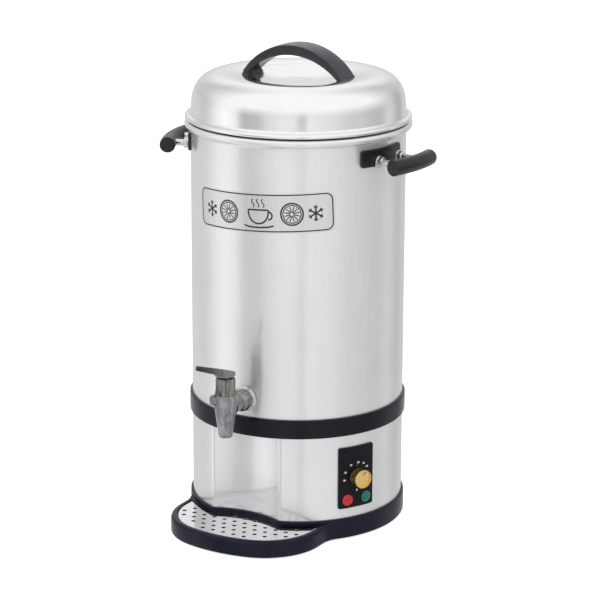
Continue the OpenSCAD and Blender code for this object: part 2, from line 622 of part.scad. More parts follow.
module lid_screws() color("#b5b7b9") for (s = lid_screw_x) rotate([0, 0, lid_turn]) union() {
  difference() {
    translate([s, 0, crown_z - 8.6]) cylinder(r = 4.5, h = 7);
    rotate([0, 0, -lid_turn]) above_under();
  }
  translate([s, 0, crown_z - 8]) cylinder(r = 1.95, h = 9.6);
}

// ---- drip grate ----------------------------------------------------------------

rows = grate_pitch * sqrt(3) / 2;
grate_at = [for (j = [0:7], i = [-8:8])
  let (p = [(i + (j % 2) / 2) * grate_pitch, -103 - j * rows])
  if (in_tray(p, 15) && (norm(p) > 149 || norm([p[0], p[1] - niche_y]) < niche_r - 11)) p];
module drip_grate() color("#d9dadc") translate([0, 0, tray_h - 2.5]) linear_extrude(1.5) rotate(tray_turn) difference() {
  tray_plan(8.5, 142, niche_r - 4);
  for (p = grate_at) translate(p) circle(r = 2.3);
}

// ---- assembly --------------------------------------------------------------------

base_ring();
bottom_plate();
bottom_screws();
rubber_feet();
base_skirt();
trim_band();
vessel_wall();
vessel_bottom();
label_film();
handle_plate_right();
handle_bracket_right();
grip_upper_right();
grip_lower_right();
handle_plate_left();
handle_bracket_left();
grip_upper_left();
grip_lower_left();
handle_screws();
handle_nuts();
grip_screws();
tap_body();
tap_gasket();
tap_washer();
tap_inner_gasket();
tap_lock_nut();
tap_bonnet();
tap_stem();
seat_cup();
tap_spring();
tap_lever();
lever_pin();
control_panel();
thermostat_body();
thermostat_nut();
thermostat_spindle();
knob();
knob_pointer();
red_lamp_lens();
green_lamp_lens();
lamp_bodies();
heating_plate();
heating_element();
thermal_cutout();
thermostat_bulb();
bulb_clip();
capillary_tube();
terminal_block();
wiring();
cable_gland();
gland_cap();
gland_nut();
lid_shell();
lid_handle();
lid_screws();
drip_grate();
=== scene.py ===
import json
import math
import bpy
import bmesh
from mathutils import Matrix, Vector
from mathutils.geometry import delaunay_2d_cdt


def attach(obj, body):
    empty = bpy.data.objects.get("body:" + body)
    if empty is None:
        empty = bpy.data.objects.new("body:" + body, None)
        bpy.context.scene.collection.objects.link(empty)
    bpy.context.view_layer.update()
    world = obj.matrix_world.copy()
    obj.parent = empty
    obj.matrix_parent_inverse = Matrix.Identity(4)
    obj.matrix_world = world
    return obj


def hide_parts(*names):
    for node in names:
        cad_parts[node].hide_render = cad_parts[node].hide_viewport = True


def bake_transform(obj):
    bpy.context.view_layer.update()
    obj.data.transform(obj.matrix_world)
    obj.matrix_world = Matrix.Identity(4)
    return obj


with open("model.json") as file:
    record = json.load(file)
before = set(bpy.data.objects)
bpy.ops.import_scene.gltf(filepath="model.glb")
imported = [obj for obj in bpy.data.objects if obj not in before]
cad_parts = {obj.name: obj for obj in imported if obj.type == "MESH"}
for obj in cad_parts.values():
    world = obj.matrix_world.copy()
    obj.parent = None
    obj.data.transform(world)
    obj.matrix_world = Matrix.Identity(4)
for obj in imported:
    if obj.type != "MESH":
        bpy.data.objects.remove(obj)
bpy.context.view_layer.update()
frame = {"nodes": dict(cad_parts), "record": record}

MM = 0.001
NODES = frame["nodes"]
SCENE = bpy.context.scene
SHOT_AZ = 28.5          # where the camera stands, degrees from the tap towards +X


# ------------------------------------------------------------------ numbers

BODY_R, IN_R = 135.0, 134.2
RIM_Z = 513.5
CROWN_Z = 571.4
DOME_R, DOME_A, DOME_N = 134.3, 39.9, 2.5
DOME_Z = RIM_Z + 13.7
DISH_Z = CROWN_Z - 10.7
LID_TURN = -2.0
BASE_R = 138.0
TRAY_TURN = -2.0
TRAY_HW, TRAY_H = 101.5, 22.0
RING_H = 27.0
GRATE_PITCH = 15.0
NICHE_Y, NICHE_R, NICHE_F = -226.0, 111.0, 7.0
HANDLES = (("right", 82.5, -4.5, 174.0), ("left", -75.0, 4.5, 164.0))     # angle of the rod, turn of the plate from it, reach of the grip
HANDLE_Z, PLATE_Z = 478.3, 484.5
GRIP_R, GRIP_HALF = 10.0, 40.9
LEG_X, LEG_R = 21.0, 4.25
PLATE_R = 138.2
TAP_R, TAP_Z = 184.0, 183.5
PIVOT = Vector((0, -192.0, 232.0))
LEVER_TILT, LEVER_LEN = 20.0, 59.5
PANEL_PHI, KNOB_Z, KNOB_R = 61.4, 80.5, 11.9
PANEL_OUT = 137.6
LAMP_A, LAMP_DZ = 5.7, -29.4
LABEL_PHI, LABEL_W, LABEL_H, LABEL_Z = 7.5, 189.0, 49.5, 421.0


# ------------------------------------------------------------------ mesh helpers

def arc(cx, cy, r, a0, a1, n):
    return [(cx + r * math.cos(math.radians(a0 + (a1 - a0) * i / n)),
             cy + r * math.sin(math.radians(a0 + (a1 - a0) * i / n))) for i in range(n + 1)]


def rrect(w, h, r, n=8):
    return (arc(w / 2 - r, h / 2 - r, r, 0, 90, n) + arc(-w / 2 + r, h / 2 - r, r, 90, 180, n)
            + arc(-w / 2 + r, -h / 2 + r, r, 180, 270, n) + arc(w / 2 - r, -h / 2 + r, r, 270, 360, n))


def smoothstep(t):
    t = max(0.0, min(1.0, t))
    return t * t * (3 - 2 * t)


def build(name, verts, faces, mat, body, slot, replaces=(), sharp=38, bevel=None, mats=None, face_mats=None, recalc=True):
    """A finished piece from points in millimetres."""
    me = bpy.data.meshes.new(name)
    me.from_pydata([Vector(v) * MM for v in verts], [], faces)
    if mats:
        for m in mats:
            me.materials.append(m)
        me.polygons.foreach_set("material_index", face_mats)
    else:
        me.materials.append(mat)
    bm = bmesh.new()
    bm.from_mesh(me)
    bmesh.ops.remove_doubles(bm, verts=bm.verts, dist=2e-6)
    bmesh.ops.dissolve_degenerate(bm, edges=bm.edges, dist=1e-7)
    if recalc:
        bmesh.ops.recalc_face_normals(bm, faces=bm.faces)
    for f in bm.faces:
        f.smooth = True
    bm.to_mesh(me)
    bm.free()
    if sharp:
        me.set_sharp_from_angle(angle=math.radians(sharp))
    ob = bpy.data.objects.new(name, me)
    SCENE.collection.objects.link(ob)
    if bevel:
        b = ob.modifiers.new("edge", "BEVEL")
        b.width = bevel * MM
        b.segments = 3
        b.limit_method = "ANGLE"
        b.angle_limit = math.radians(35)
        b.harden_normals = True
    if body:
        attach(ob, body)
    if replaces:
        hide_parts(*replaces)
    return ob


def lathe(profile, n=160, close=False, m=None):
    """Points and faces of a profile [(r, z)] turned about Z, then moved by m."""
    verts, faces = [], []
    k = len(profile)
    for i in range(n):
        a = 2 * math.pi * i / n
        c, s = math.cos(a), math.sin(a)
        for r, z in profile:
            verts.append(Vector((r * c, r * s, z)))
    last = k if close else k - 1
    for i in range(n):
        j = (i + 1) % n
        for q in range(last):
            w = (q + 1) % k
            faces.append((i * k + q, j * k + q, j * k + w, i * k + w))
    if m is not None:
        verts = [m @ v for v in verts]
    return verts, faces


def sweep(path, section, closed=False, up=None, cap=True):
    """A 2D section [(a, b)] carried along a path; b points along up where it is given."""
    n, k = len(path), len(section)
    verts, faces = [], []
    side = None
    for i, p in enumerate(path):
        t = (path[(i + 1) % n] - path[i - 1]) if closed else (path[min(i + 1, n - 1)] - path[max(i - 1, 0)])
        t = t.normalized()
        if up is not None:
            side = t.cross(up).normalized()
        elif side is None:
            side = t.orthogonal().normalized()
        else:
            side = (side - t * side.dot(t)).normalized()
        high = side.cross(t)
        for a, b in section:
            verts.append(p + side * a + high * b)
    for i in range(n if closed else n - 1):
        j = (i + 1) % n
        for q in range(k):
            w = (q + 1) % k
            faces.append((i * k + q, j * k + q, j * k + w, i * k + w))
    if cap and not closed:
        faces.append(tuple(range(k)))
        faces.append(tuple((n - 1) * k + q for q in range(k)))
    return verts, faces


def join(*parts):
    verts, faces = [], []
    for v, f in parts:
        o = len(verts)
        verts += list(v)
        faces += [tuple(i + o for i in q) for q in f]
    return verts, faces


def moved(part, m):
    return [m @ Vector(v) for v in part[0]], part[1]


def fill(loops, inside, grid=0.0, z=lambda x, y: 0.0):
    """Triangles of the plane region where inside(x, y), bounded by the closed loops."""
    pts, edges = [], []
    for lp in loops:
        o = len(pts)
        pts += [Vector((p[0], p[1])) for p in lp]
        edges += [(o + i, o + (i + 1) % len(lp)) for i in range(len(lp))]
    if grid:
        x0, x1 = min(p.x for p in pts), max(p.x for p in pts)
        y0, y1 = min(p.y for p in pts), max(p.y for p in pts)
        nx, ny = int((x1 - x0) / grid), int((y1 - y0) / grid)
        own = list(pts)
        for i in range(1, nx + 1):
            for j in range(1, ny + 1):
                q = Vector((x0 + i * grid, y0 + j * grid))
                if inside(q.x, q.y) and min((q - e).length_squared for e in own) > (0.45 * grid) ** 2:
                    pts.append(q)
    v, _, f, *_ = delaunay_2d_cdt(pts, edges, [], 0, 1e-5)
    keep = []
    for t in f:
        cx = sum(v[i].x for i in t) / len(t)
        cy = sum(v[i].y for i in t) / len(t)
        if inside(cx, cy):
            keep.append(tuple(t))
    return [Vector((p.x, p.y, z(p.x, p.y))) for p in v], keep


def in_poly(poly):
    def test(x, y):
        c, j = False, len(poly) - 1
        for i in range(len(poly)):
            xi, yi = poly[i][0], poly[i][1]
            xj, yj = poly[j][0], poly[j][1]
            if (yi > y) != (yj > y) and x < (xj - xi) * (y - yi) / (yj - yi) + xi:
                c = not c
            j = i
        return c
    return test


def on_cyl(phi, z, r):
    """Maps (u, v, d) near the wall at angle phi: u along the arc, v up, d out from r."""
    def f(u, v, d=0.0):
        a = math.radians(phi) + u / r
        return Vector(((r + d) * math.sin(a), -(r + d) * math.cos(a), z + v))
    return f


def radial(phi, z):
    """Local Z points out of the axis at angle phi, local Y up, local X along the wall."""
    return Matrix.Rotation(math.radians(phi), 4, "Z") @ Matrix.Translation((0, 0, z)) @ Matrix.Rotation(math.radians(90), 4, "X")


def curved_plate(w, h, r, place, d0, d1, edge, tilt=0.0, steps=4, grid=3.0):
    """A rounded rectangle bent round the wall, from depth d0 to d1, its front edge rounded."""
    ca, sa = math.cos(math.radians(tilt)), math.sin(math.radians(tilt))

    def put(p, d):
        return place(p[0] * ca - p[1] * sa, p[0] * sa + p[1] * ca, d)

    def dense(lp):
        out = []
        for i, p in enumerate(lp):
            q = lp[(i + 1) % len(lp)]
            k = max(1, int(math.hypot(q[0] - p[0], q[1] - p[1]) / grid))
            out += [(p[0] + (q[0] - p[0]) * j / k, p[1] + (q[1] - p[1]) * j / k) for j in range(k)]
        return out

    rings = [(0.0, d0)] + [(edge * (1 - math.cos(math.pi / 2 * i / steps)), d1 - edge * (1 - math.sin(math.pi / 2 * i / steps)))
                           for i in range(steps + 1)]
    base = dense(rrect(w, h, r))
    verts, faces = [], []
    k = len(base)
    lp = base
    for e, d in rings:
        lp = [(p[0] * (1 - 2 * e / w), p[1] * (1 - 2 * e / h)) for p in base]
        verts += [put(p, d) for p in lp]
    for i in range(len(rings) - 1):
        for q in range(k):
            s = (q + 1) % k
            faces.append((i * k + q, i * k + s, (i + 1) * k + s, (i + 1) * k + q))
    fv, ff = fill([lp], in_poly(lp), grid)
    o = len(verts)
    verts += [put((p.x, p.y), d1) for p in fv]
    faces += [tuple(i + o for i in t) for t in ff]
    bv, bf = fill([base], in_poly(base), grid)
    o = len(verts)
    verts += [put((p.x, p.y), d0) for p in bv]
    faces += [tuple(i + o for i in t) for t in bf]
    return verts, faces


def strokes(lines, place, width, d0, d1):
    """Flat lines drawn on the wall: each line is a list of (u, v) points, closed if its ends meet."""
    parts = []
    for ln in lines:
        closed = math.hypot(ln[0][0] - ln[-1][0], ln[0][1] - ln[-1][1]) < 1e-6
        pts = [Vector((p[0], p[1])) for p in (ln[:-1] if closed else ln)]
        n = len(pts)
        verts, faces = [], []
        for i in range(n):
            if closed:
                t = pts[(i + 1) % n] - pts[i - 1]
            else:
                t = pts[min(i + 1, n - 1)] - pts[max(i - 1, 0)]
            t = t.normalized()
            s = Vector((-t.y, t.x)) * width / 2
            a, b = pts[i] + s, pts[i] - s
            verts += [place(a.x, a.y, d1), place(b.x, b.y, d1), place(b.x, b.y, d0), place(a.x, a.y, d0)]
        for i in range(n if closed else n - 1):
            j = (i + 1) % n
            for q in range(4):
                w = (q + 1) % 4
                faces.append((i * 4 + q, i * 4 + w, j * 4 + w, j * 4 + q))
        if not closed:
            faces += [(0, 1, 2, 3), ((n - 1) * 4, (n - 1) * 4 + 1, (n - 1) * 4 + 2, (n - 1) * 4 + 3)]
        parts.append((verts, faces))
    return join(*parts)


def hexagon(r, n=6, a=0.0):
    return [(r * math.cos(math.radians(a + 360 * i / n)), r * math.sin(math.radians(a + 360 * i / n))) for i in range(n)]


def prism(outline, z0, z1, bore=0.0, chamfer=0.0, nb=32):
    """A right prism on an outline, with a round bore where bore is given and its ends chamfered."""
    loops = []
    if chamfer:
        big = max(math.hypot(*p) for p in outline)
        f = (big - chamfer) / big
        loops = [([(p[0] * f, p[1] * f) for p in outline], z0), (outline, z0 + chamfer * 0.6),
                 (outline, z1 - chamfer * 0.6), ([(p[0] * f, p[1] * f) for p in outline], z1)]
    else:
        loops = [(outline, z0), (outline, z1)]
    verts, faces = [], []
    k = len(outline)
    for lp, z in loops:
        verts += [Vector((p[0], p[1], z)) for p in lp]
    for i in range(len(loops) - 1):
        for q in range(k):
            w = (q + 1) % k
            faces.append((i * k + q, i * k + w, (i + 1) * k + w, (i + 1) * k + q))
    for lp, z in (loops[0], loops[-1]):
        if bore:
            hole = [(bore * math.cos(2 * math.pi * i / nb), bore * math.sin(2 * math.pi * i / nb)) for i in range(nb)]
            test = in_poly(lp)
            fv, ff = fill([lp, hole], lambda x, y: test(x, y) and math.hypot(x, y) > bore * 0.99)
        else:
            fv, ff = fill([lp], in_poly(lp))
        o = len(verts)
        verts += [Vector((p.x, p.y, z)) for p in fv]
        faces += [tuple(i + o for i in t) for t in ff]
    if bore:
        o = len(verts)
        for i in range(nb):
            a = 2 * math.pi * i / nb
            verts += [Vector((bore * math.cos(a), bore * math.sin(a), z0)), Vector((bore * math.cos(a), bore * math.sin(a), z1))]
        for i in range(nb):
            j = (i + 1) % nb
            faces.append((o + 2 * i, o + 2 * j, o + 2 * j + 1, o + 2 * i + 1))
    return verts, faces


# ------------------------------------------------------------------ materials

class Nodes:
    """Short names for the shader nodes used below."""

    def __init__(self, name):
        self.m = bpy.data.materials.new(name)
        self.m.use_nodes = True
        self.t = self.m.node_tree
        self.t.nodes.clear()
        self.out = self.t.nodes.new("ShaderNodeOutputMaterial")
        self.b = self.t.nodes.new("ShaderNodeBsdfPrincipled")
        self.t.links.new(self.b.outputs[0], self.out.inputs[0])
        self.co = self.t.nodes.new("ShaderNodeTexCoord").outputs["Object"]

    def link(self, a, b):
        self.t.links.new(a, b)

    def stretch(self, x, y, z):
        n = self.t.nodes.new("ShaderNodeMapping")
        n.inputs["Scale"].default_value = (x, y, z)
        self.link(self.co, n.inputs["Vector"])
        return n.outputs[0]

    def noise(self, scale, detail=3.0, rough=0.55, vec=None):
        n = self.t.nodes.new("ShaderNodeTexNoise")
        n.inputs["Scale"].default_value = scale
        n.inputs["Detail"].default_value = detail
        n.inputs["Roughness"].default_value = rough
        self.link(vec if vec is not None else self.co, n.inputs["Vector"])
        return n.outputs["Fac"]

    def voronoi(self, scale, vec=None):
        n = self.t.nodes.new("ShaderNodeTexVoronoi")
        n.inputs["Scale"].default_value = scale
        self.link(vec if vec is not None else self.co, n.inputs["Vector"])
        return n.outputs["Distance"]

    def ramp(self, fac, stops):
        n = self.t.nodes.new("ShaderNodeValToRGB")
        e = n.color_ramp.elements
        while len(e) < len(stops):
            e.new(0.5)
        for q, (p, c) in zip(e, stops):
            q.position = p
            q.color = (*c, 1) if len(c) == 3 else c
        self.link(fac, n.inputs[0])
        return n.outputs[0]

    def level(self, fac, a, b, lo=0.3, hi=0.7):
        n = self.t.nodes.new("ShaderNodeMapRange")
        for i, v in zip(range(1, 5), (lo, hi, a, b)):
            n.inputs[i].default_value = v
        self.link(fac, n.inputs[0])
        return n.outputs[0]

    def math(self, op, a, b):
        n = self.t.nodes.new("ShaderNodeMath")
        n.operation = op
        for i, v in enumerate((a, b)):
            if isinstance(v, (int, float)):
                n.inputs[i].default_value = v
            else:
                self.link(v, n.inputs[i])
        return n.outputs[0]

    def bump(self, height, strength, dist, normal=None):
        n = self.t.nodes.new("ShaderNodeBump")
        n.inputs["Strength"].default_value = strength
        n.inputs["Distance"].default_value = dist
        self.link(height, n.inputs["Height"])
        if normal is not None:
            self.link(normal, n.inputs["Normal"])
        return n.outputs[0]

    def set(self, **kw):
        names = {"metal": "Metallic", "ior": "IOR", "coat": "Coat Weight", "coat_rough": "Coat Roughness",
                 "trans": "Transmission Weight", "sss": "Subsurface Weight", "spec": "Specular IOR Level",
                 "aniso": "Anisotropic", "emit": "Emission Strength", "coat_ior": "Coat IOR"}
        for k, v in kw.items():
            self.b.inputs[names[k]].default_value = v
        return self

    def done(self, color, rough, normal=None):
        self.link(color, self.b.inputs["Base Color"])
        self.link(rough, self.b.inputs["Roughness"])
        if normal is not None:
            self.link(normal, self.b.inputs["Normal"])
        return self.m


def metal(name, dark, light, r0, r1, lines=(1, 1, 1), line_scale=600, wave=0.0, wave_scale=9.0, scratch=0.06, gloss=None, body=1.0):
    """Rolled or polished metal: fine lines along one way, faint clouds, a slight waviness.

    gloss = (weight, roughness, index) lays a sharp reflection over the milky one of the sheet;
    body under 1 leaves a part of the light scattered, as fine polishing lines do."""
    n = Nodes(name).set(metal=body)
    if gloss:
        n.set(coat=gloss[0], coat_rough=gloss[1], coat_ior=gloss[2])
    fine = n.noise(line_scale, 4.0, 0.6, n.stretch(*lines))
    cloud = n.noise(14.0, 3.0, 0.5)
    mix = n.math("ADD", n.math("MULTIPLY", fine, 0.55), n.math("MULTIPLY", cloud, 0.45))
    col = n.ramp(mix, [(0.36, dark), (0.64, light)])
    rough = n.level(mix, r0, r1, 0.36, 0.64)
    nor = n.bump(fine, scratch, 0.00004)
    if wave:
        nor = n.bump(n.noise(wave_scale, 2.0, 0.4), wave, 0.004, nor)
    return n.done(col, rough, nor)


def plastic(name, dark, light, r0, r1, grain=900, depth=0.05, coat=0.0, coat_rough=0.06, spec=0.5):
    """Moulded plastic: a fine grain, soft clouds of tone, handling marks in the gloss."""
    n = Nodes(name).set(coat=coat, coat_rough=coat_rough, spec=spec)
    cloud = n.noise(38.0, 4.0, 0.6)
    col = n.ramp(cloud, [(0.32, dark), (0.68, light)])
    smear = n.noise(90.0, 5.0, 0.65)
    rough = n.level(smear, r0, r1)
    nor = n.bump(n.noise(grain, 2.0, 0.5), depth, 0.0002)
    return n.done(col, rough, nor)


STEEL = metal("steel_polished", (0.685, 0.685, 0.69), (0.755, 0.755, 0.76), 0.34, 0.42, (1, 1, 0.012), 900, 0.03, 7.0, 0.03, (1.0, 0.11, 2.6), 0.86)
STEEL_LID = metal("steel_spun", (0.79, 0.795, 0.80), (0.85, 0.855, 0.86), 0.12, 0.19, (1, 1, 1), 40, 0.02, 6.0, 0.01, (1.0, 0.05, 2.6))
STEEL_IN = metal("steel_inside", (0.62, 0.62, 0.63), (0.72, 0.72, 0.73), 0.24, 0.36, (1, 1, 0.02), 700, 0.05, 9.0, 0.06)
GRATE = metal("steel_grate", (0.74, 0.745, 0.75), (0.82, 0.825, 0.83), 0.07, 0.11, (1, 0.05, 1), 500, 0.0, 22.0, 0.01)
FITTING = metal("steel_fitting", (0.62, 0.62, 0.63), (0.76, 0.76, 0.77), 0.12, 0.22, (1, 1, 1), 500, 0.0, 1.0, 0.10)
CHROME = metal("chrome_plate", (0.72, 0.74, 0.77), (0.82, 0.84, 0.87), 0.05, 0.10, (1, 1, 1), 200, 0.0, 1.0, 0.02)
ZINC = metal("zinc_sheet", (0.50, 0.51, 0.52), (0.64, 0.65, 0.66), 0.34, 0.5, (1, 0.1, 1), 300, 0.0, 1.0, 0.10)
ALU = metal("aluminium_cast", (0.52, 0.52, 0.53), (0.66, 0.66, 0.67), 0.42, 0.6, (1, 1, 1), 260, 0.0, 1.0, 0.25)
HEATER = metal("heater_oxide", (0.15, 0.12, 0.10), (0.30, 0.25, 0.21), 0.38, 0.55, (1, 1, 1), 240, 0.0, 1.0, 0.18)
COPPER = metal("copper_tube", (0.50, 0.24, 0.12), (0.68, 0.36, 0.20), 0.24, 0.4, (1, 1, 1), 300, 0.0, 1.0, 0.10)
BLACK_GLOSS = plastic("plastic_black_gloss", (0.0022, 0.0025, 0.0052), (0.0042, 0.0047, 0.0092), 0.14, 0.24, 1400, 0.03, 0.0, 0.07, 0.20)
BLACK_BASE = plastic("plastic_black_base", (0.0020, 0.0025, 0.0085), (0.0040, 0.0049, 0.0155), 0.22, 0.34, 1300, 0.05, 0.0, 0.14, 0.19)
BLACK_SATIN = plastic("plastic_black_satin", (0.004, 0.004, 0.005), (0.008, 0.008, 0.009), 0.24, 0.36, 1500, 0.10, spec=0.36)
STRAP = plastic("plastic_strap", (0.009, 0.0095, 0.013), (0.015, 0.016, 0.021), 0.20, 0.30, 1600, 0.06, spec=0.55)
PANEL = plastic("panel_face", (0.0018, 0.0019, 0.0042), (0.0034, 0.0036, 0.0075), 0.34, 0.46, 1800, 0.06, spec=0.17)


def smoky(name, dark, light, r0, r1, deep):
    """Tinted see-through plastic: upright streaks of painted highlight and shade, drifting clouds, a soft gloss."""
    n = Nodes(name).set(coat=0.25, coat_rough=0.08, spec=0.45)
    # painted highlight and shade: noise stretched upright gives lighter and darker streaks, weighted by deep
    painted_streak = n.noise(150.0, 3.0, 0.6, n.stretch(1, 1, 0.14))
    cloud = n.noise(70.0, 4.0, 0.6)
    mix = n.math("ADD", n.math("MULTIPLY", painted_streak, deep), n.math("MULTIPLY", cloud, 1.0 - deep))
    col = n.ramp(mix, [(0.42, dark), (0.59, light)])
    return n.done(col, n.level(cloud, r0, r1), n.bump(n.noise(700, 2.0, 0.5), 0.04, 0.0002))


# the last figure is the share of the painted highlight and shade streaks in the colour
SMOKE = smoky("plastic_smoke", (0.075, 0.072, 0.078), (0.205, 0.198, 0.212), 0.18, 0.30, 0.6)
SMOKE_DARK = smoky("plastic_smoke_dark", (0.014, 0.013, 0.010), (0.165, 0.160, 0.138), 0.14, 0.26, 0.85)
COLLAR = metal("collar_tinted", (0.16, 0.158, 0.155), (0.34, 0.336, 0.33), 0.10, 0.18, (1, 1, 1), 260, 0.0, 1.0, 0.03)


def lever_mat():
    """Tinted plastic that looks darker towards the thin tip of the lever."""
    n = Nodes("plastic_lever").set(spec=0.4)
    sep = n.t.nodes.new("ShaderNodeSeparateXYZ")
    n.link(n.co, sep.inputs[0])
    along = n.level(sep.outputs["Y"], 0.0, 1.0, -0.236, -0.196)
    cloud = n.noise(120.0, 3.0, 0.6)
    mix = n.math("ADD", n.math("MULTIPLY", along, 0.8), n.math("MULTIPLY", cloud, 0.3))
    col = n.ramp(mix, [(0.12, (0.006, 0.006, 0.007)), (0.55, (0.045, 0.044, 0.046)), (0.95, (0.13, 0.127, 0.133))])
    return n.done(col, n.level(cloud, 0.20, 0.34), n.bump(n.noise(900, 2.0), 0.04, 0.0002))


LEVER_MAT = lever_mat()
RUBBER = plastic("rubber_dark", (0.020, 0.020, 0.021), (0.032, 0.032, 0.033), 0.62, 0.78, 1100, 0.22, spec=0.35)
RUBBER_PALE = plastic("rubber_pale", (0.60, 0.57, 0.50), (0.70, 0.67, 0.60), 0.5, 0.66, 1100, 0.15)
CREAM = plastic("plastic_cream", (0.62, 0.58, 0.48), (0.72, 0.68, 0.58), 0.40, 0.55, 900, 0.12)
DARK = plastic("plastic_dark", (0.020, 0.020, 0.022), (0.034, 0.034, 0.036), 0.42, 0.55, 900, 0.12)
SLEEVE = plastic("wire_sleeve", (0.22, 0.06, 0.035), (0.32, 0.095, 0.055), 0.5, 0.62, 1200, 0.2)
INK = plastic("ink_black", (0.006, 0.006, 0.007), (0.012, 0.012, 0.013), 0.36, 0.5, 2400, 0.05)
INK_WHITE = plastic("ink_white", (0.70, 0.70, 0.72), (0.82, 0.82, 0.83), 0.40, 0.52, 2400, 0.05)
POINTER = plastic("pointer_red", (0.42, 0.018, 0.012), (0.60, 0.035, 0.022), 0.28, 0.4, 1800, 0.06)
SCREW_DARK = metal("screw_dark", (0.05, 0.05, 0.052), (0.10, 0.10, 0.105), 0.34, 0.5, (1, 1, 1), 500, 0.0, 1.0, 0.1)


def film():
    """A clear printed film over steel: a touch greyer and warmer than the sheet beside it."""
    n = Nodes("label_film").set(metal=0.92, coat=0.7, coat_rough=0.13, coat_ior=2.2)
    fine = n.noise(900, 4.0, 0.6, n.stretch(1, 1, 0.012))
    col = n.ramp(fine, [(0.35, (0.66, 0.645, 0.655)), (0.65, (0.74, 0.722, 0.732))])
    return n.done(col, n.level(fine, 0.38, 0.46), n.bump(n.noise(1500, 2.0), 0.04, 0.0001))


def brass(name, dark, light, r0, r1, ring):
    """Gold-toned turned metal; ring adds the lathe's fine circles about the knob's axis."""
    n = Nodes(name).set(metal=1.0)
    fine = n.noise(700, 4.0, 0.6)
    col = n.ramp(fine, [(0.3, dark), (0.7, light)])
    rough = n.level(fine, r0, r1)
    nor = n.bump(fine, 0.08, 0.00006)
    if ring:
        c = radial(PANEL_PHI, KNOB_Z) @ Vector((0, 0, 140))
        a = Vector((math.sin(math.radians(PANEL_PHI)), -math.cos(math.radians(PANEL_PHI)), 0))
        v = n.t.nodes.new("ShaderNodeVectorMath")
        v.operation = "SUBTRACT"
        v.inputs[1].default_value = c * MM
        n.link(n.co, v.inputs[0])
        x = n.t.nodes.new("ShaderNodeVectorMath")
        x.operation = "CROSS_PRODUCT"
        x.inputs[1].default_value = a
        n.link(v.outputs[0], x.inputs[0])
        d = n.t.nodes.new("ShaderNodeVectorMath")
        d.operation = "LENGTH"
        n.link(x.outputs[0], d.inputs[0])
        w = n.math("SINE", n.math("MULTIPLY", d.outputs["Value"], 21000.0), 0.0)
        nor = n.bump(w, 0.25, 0.00003, nor)
    return n.done(col, rough, nor)


BRASS_FACE = brass("brass_face", (0.82, 0.57, 0.19), (0.96, 0.74, 0.33), 0.22, 0.32, True)
BRASS_SIDE = brass("brass_side", (0.74, 0.48, 0.14), (0.94, 0.68, 0.26), 0.26, 0.38, False)


def lens(name, dark, light, emit, glow):
    """A moulded lamp cap: clear coloured plastic with a pebbled back that breaks the light up."""
    n = Nodes(name).set(coat=0.25, coat_rough=0.05, trans=0.15, emit=emit, spec=0.3)
    cells = n.voronoi(620)
    cloud = n.noise(160.0, 3.0, 0.6)
    mix = n.math("ADD", n.math("MULTIPLY", cells, 0.6), n.math("MULTIPLY", cloud, 0.4))
    col = n.ramp(mix, [(0.2, dark), (0.62, light)])
    n.link(n.ramp(mix, [(0.2, tuple(c * 0.6 for c in glow)), (0.62, glow)]), n.b.inputs["Emission Color"])
    return n.done(col, n.level(cloud, 0.12, 0.22), n.bump(cells, 0.18, 0.0004))


LENS_RED = lens("lamp_red", (0.17, 0.004, 0.004), (0.46, 0.016, 0.013), 0.04, (0.8, 0.03, 0.02))
LENS_GREEN = lens("lamp_green", (0.001, 0.030, 0.025), (0.004, 0.135, 0.105), 0.02, (0.01, 0.33, 0.25))
FILM = film()

SLOT_MATS = {
    "polished_steel": STEEL, "steel_fittings": FITTING, "chrome_trim": CHROME, "black_gloss": BLACK_GLOSS,
    "black_satin": BLACK_SATIN, "black_screws": SCREW_DARK, "smoke_plastic": SMOKE, "label_film": FILM,
    "dark_rubber": RUBBER, "pale_rubber": RUBBER_PALE, "brass_tone": BRASS_SIDE, "pointer_red": POINTER,
    "lamp_red": LENS_RED, "lamp_green": LENS_GREEN, "cream_plastic": CREAM, "dark_plastic": DARK,
    "cast_aluminium": ALU, "heater_tube": HEATER, "copper": COPPER, "wire_sleeve": SLEEVE}
for sp in frame["record"]["subparts"]:
    ob = NODES[sp["node"]]
    ob.data.materials.clear()
    ob.data.materials.append(SLOT_MATS[sp["material_slot"]])
for name, m in (("vessel_bottom", STEEL_IN), ("bottom_plate", ZINC), ("drip_grate", GRATE), ("tap_stem", CHROME)):
    NODES[name].data.materials[0] = m


# ------------------------------------------------------------------ vessel, skirt and band

# the rolled rim is a bead round a wire, with a soft neck under it
wall = ([(BODY_R, 150.0), (BODY_R, 160), (BODY_R, 200), (BODY_R, 300), (BODY_R, 400), (BODY_R, 480), (BODY_R, 499.0)]
        + [(BODY_R + 0.15, 500.6), (BODY_R + 0.6, 502.0), (BODY_R + 1.5, 503.1), (BODY_R + 2.6, 503.6)]
        + [(138.4 + 4.25 * math.cos(math.radians(a)), 508.35 + 4.7 * math.sin(math.radians(a))) for a in range(-88, 97, 8)]
        + [(136.4, 513.2), (135.0, 513.1), (IN_R, 512.4), (IN_R, 505), (IN_R, 400), (IN_R, 300), (IN_R, 152.0)])
build("vessel_shell", *lathe(wall, 256, True), STEEL, "boiler", "polished_steel", ["vessel_wall"], 50)

def bay(d, n=60):
    """Plan of the skirt pushed out by d: round, with a bay above the tray and soft shoulders beside it."""
    f = NICHE_F + d
    a1, a2 = BODY_R - NICHE_F, NICHE_R + NICHE_F
    cy = (a1 * a1 - a2 * a2 + NICHE_Y * NICHE_Y) / (2 * NICHE_Y)
    cx = math.sqrt(a1 * a1 - cy * cy)
    ring = math.degrees(math.atan2(cy, cx))
    back = math.degrees(math.atan2(cy - NICHE_Y, cx))
    right = arc(0, 0, BODY_R + d, 90, ring, 2 * n)
    right += arc(cx, cy, f, ring, back - 180, 10)[1:]
    right += arc(0, NICHE_Y, NICHE_R - d, back, 90, n // 2)[1:]
    return right + [(-x, y) for x, y in reversed(right[1:-1])]


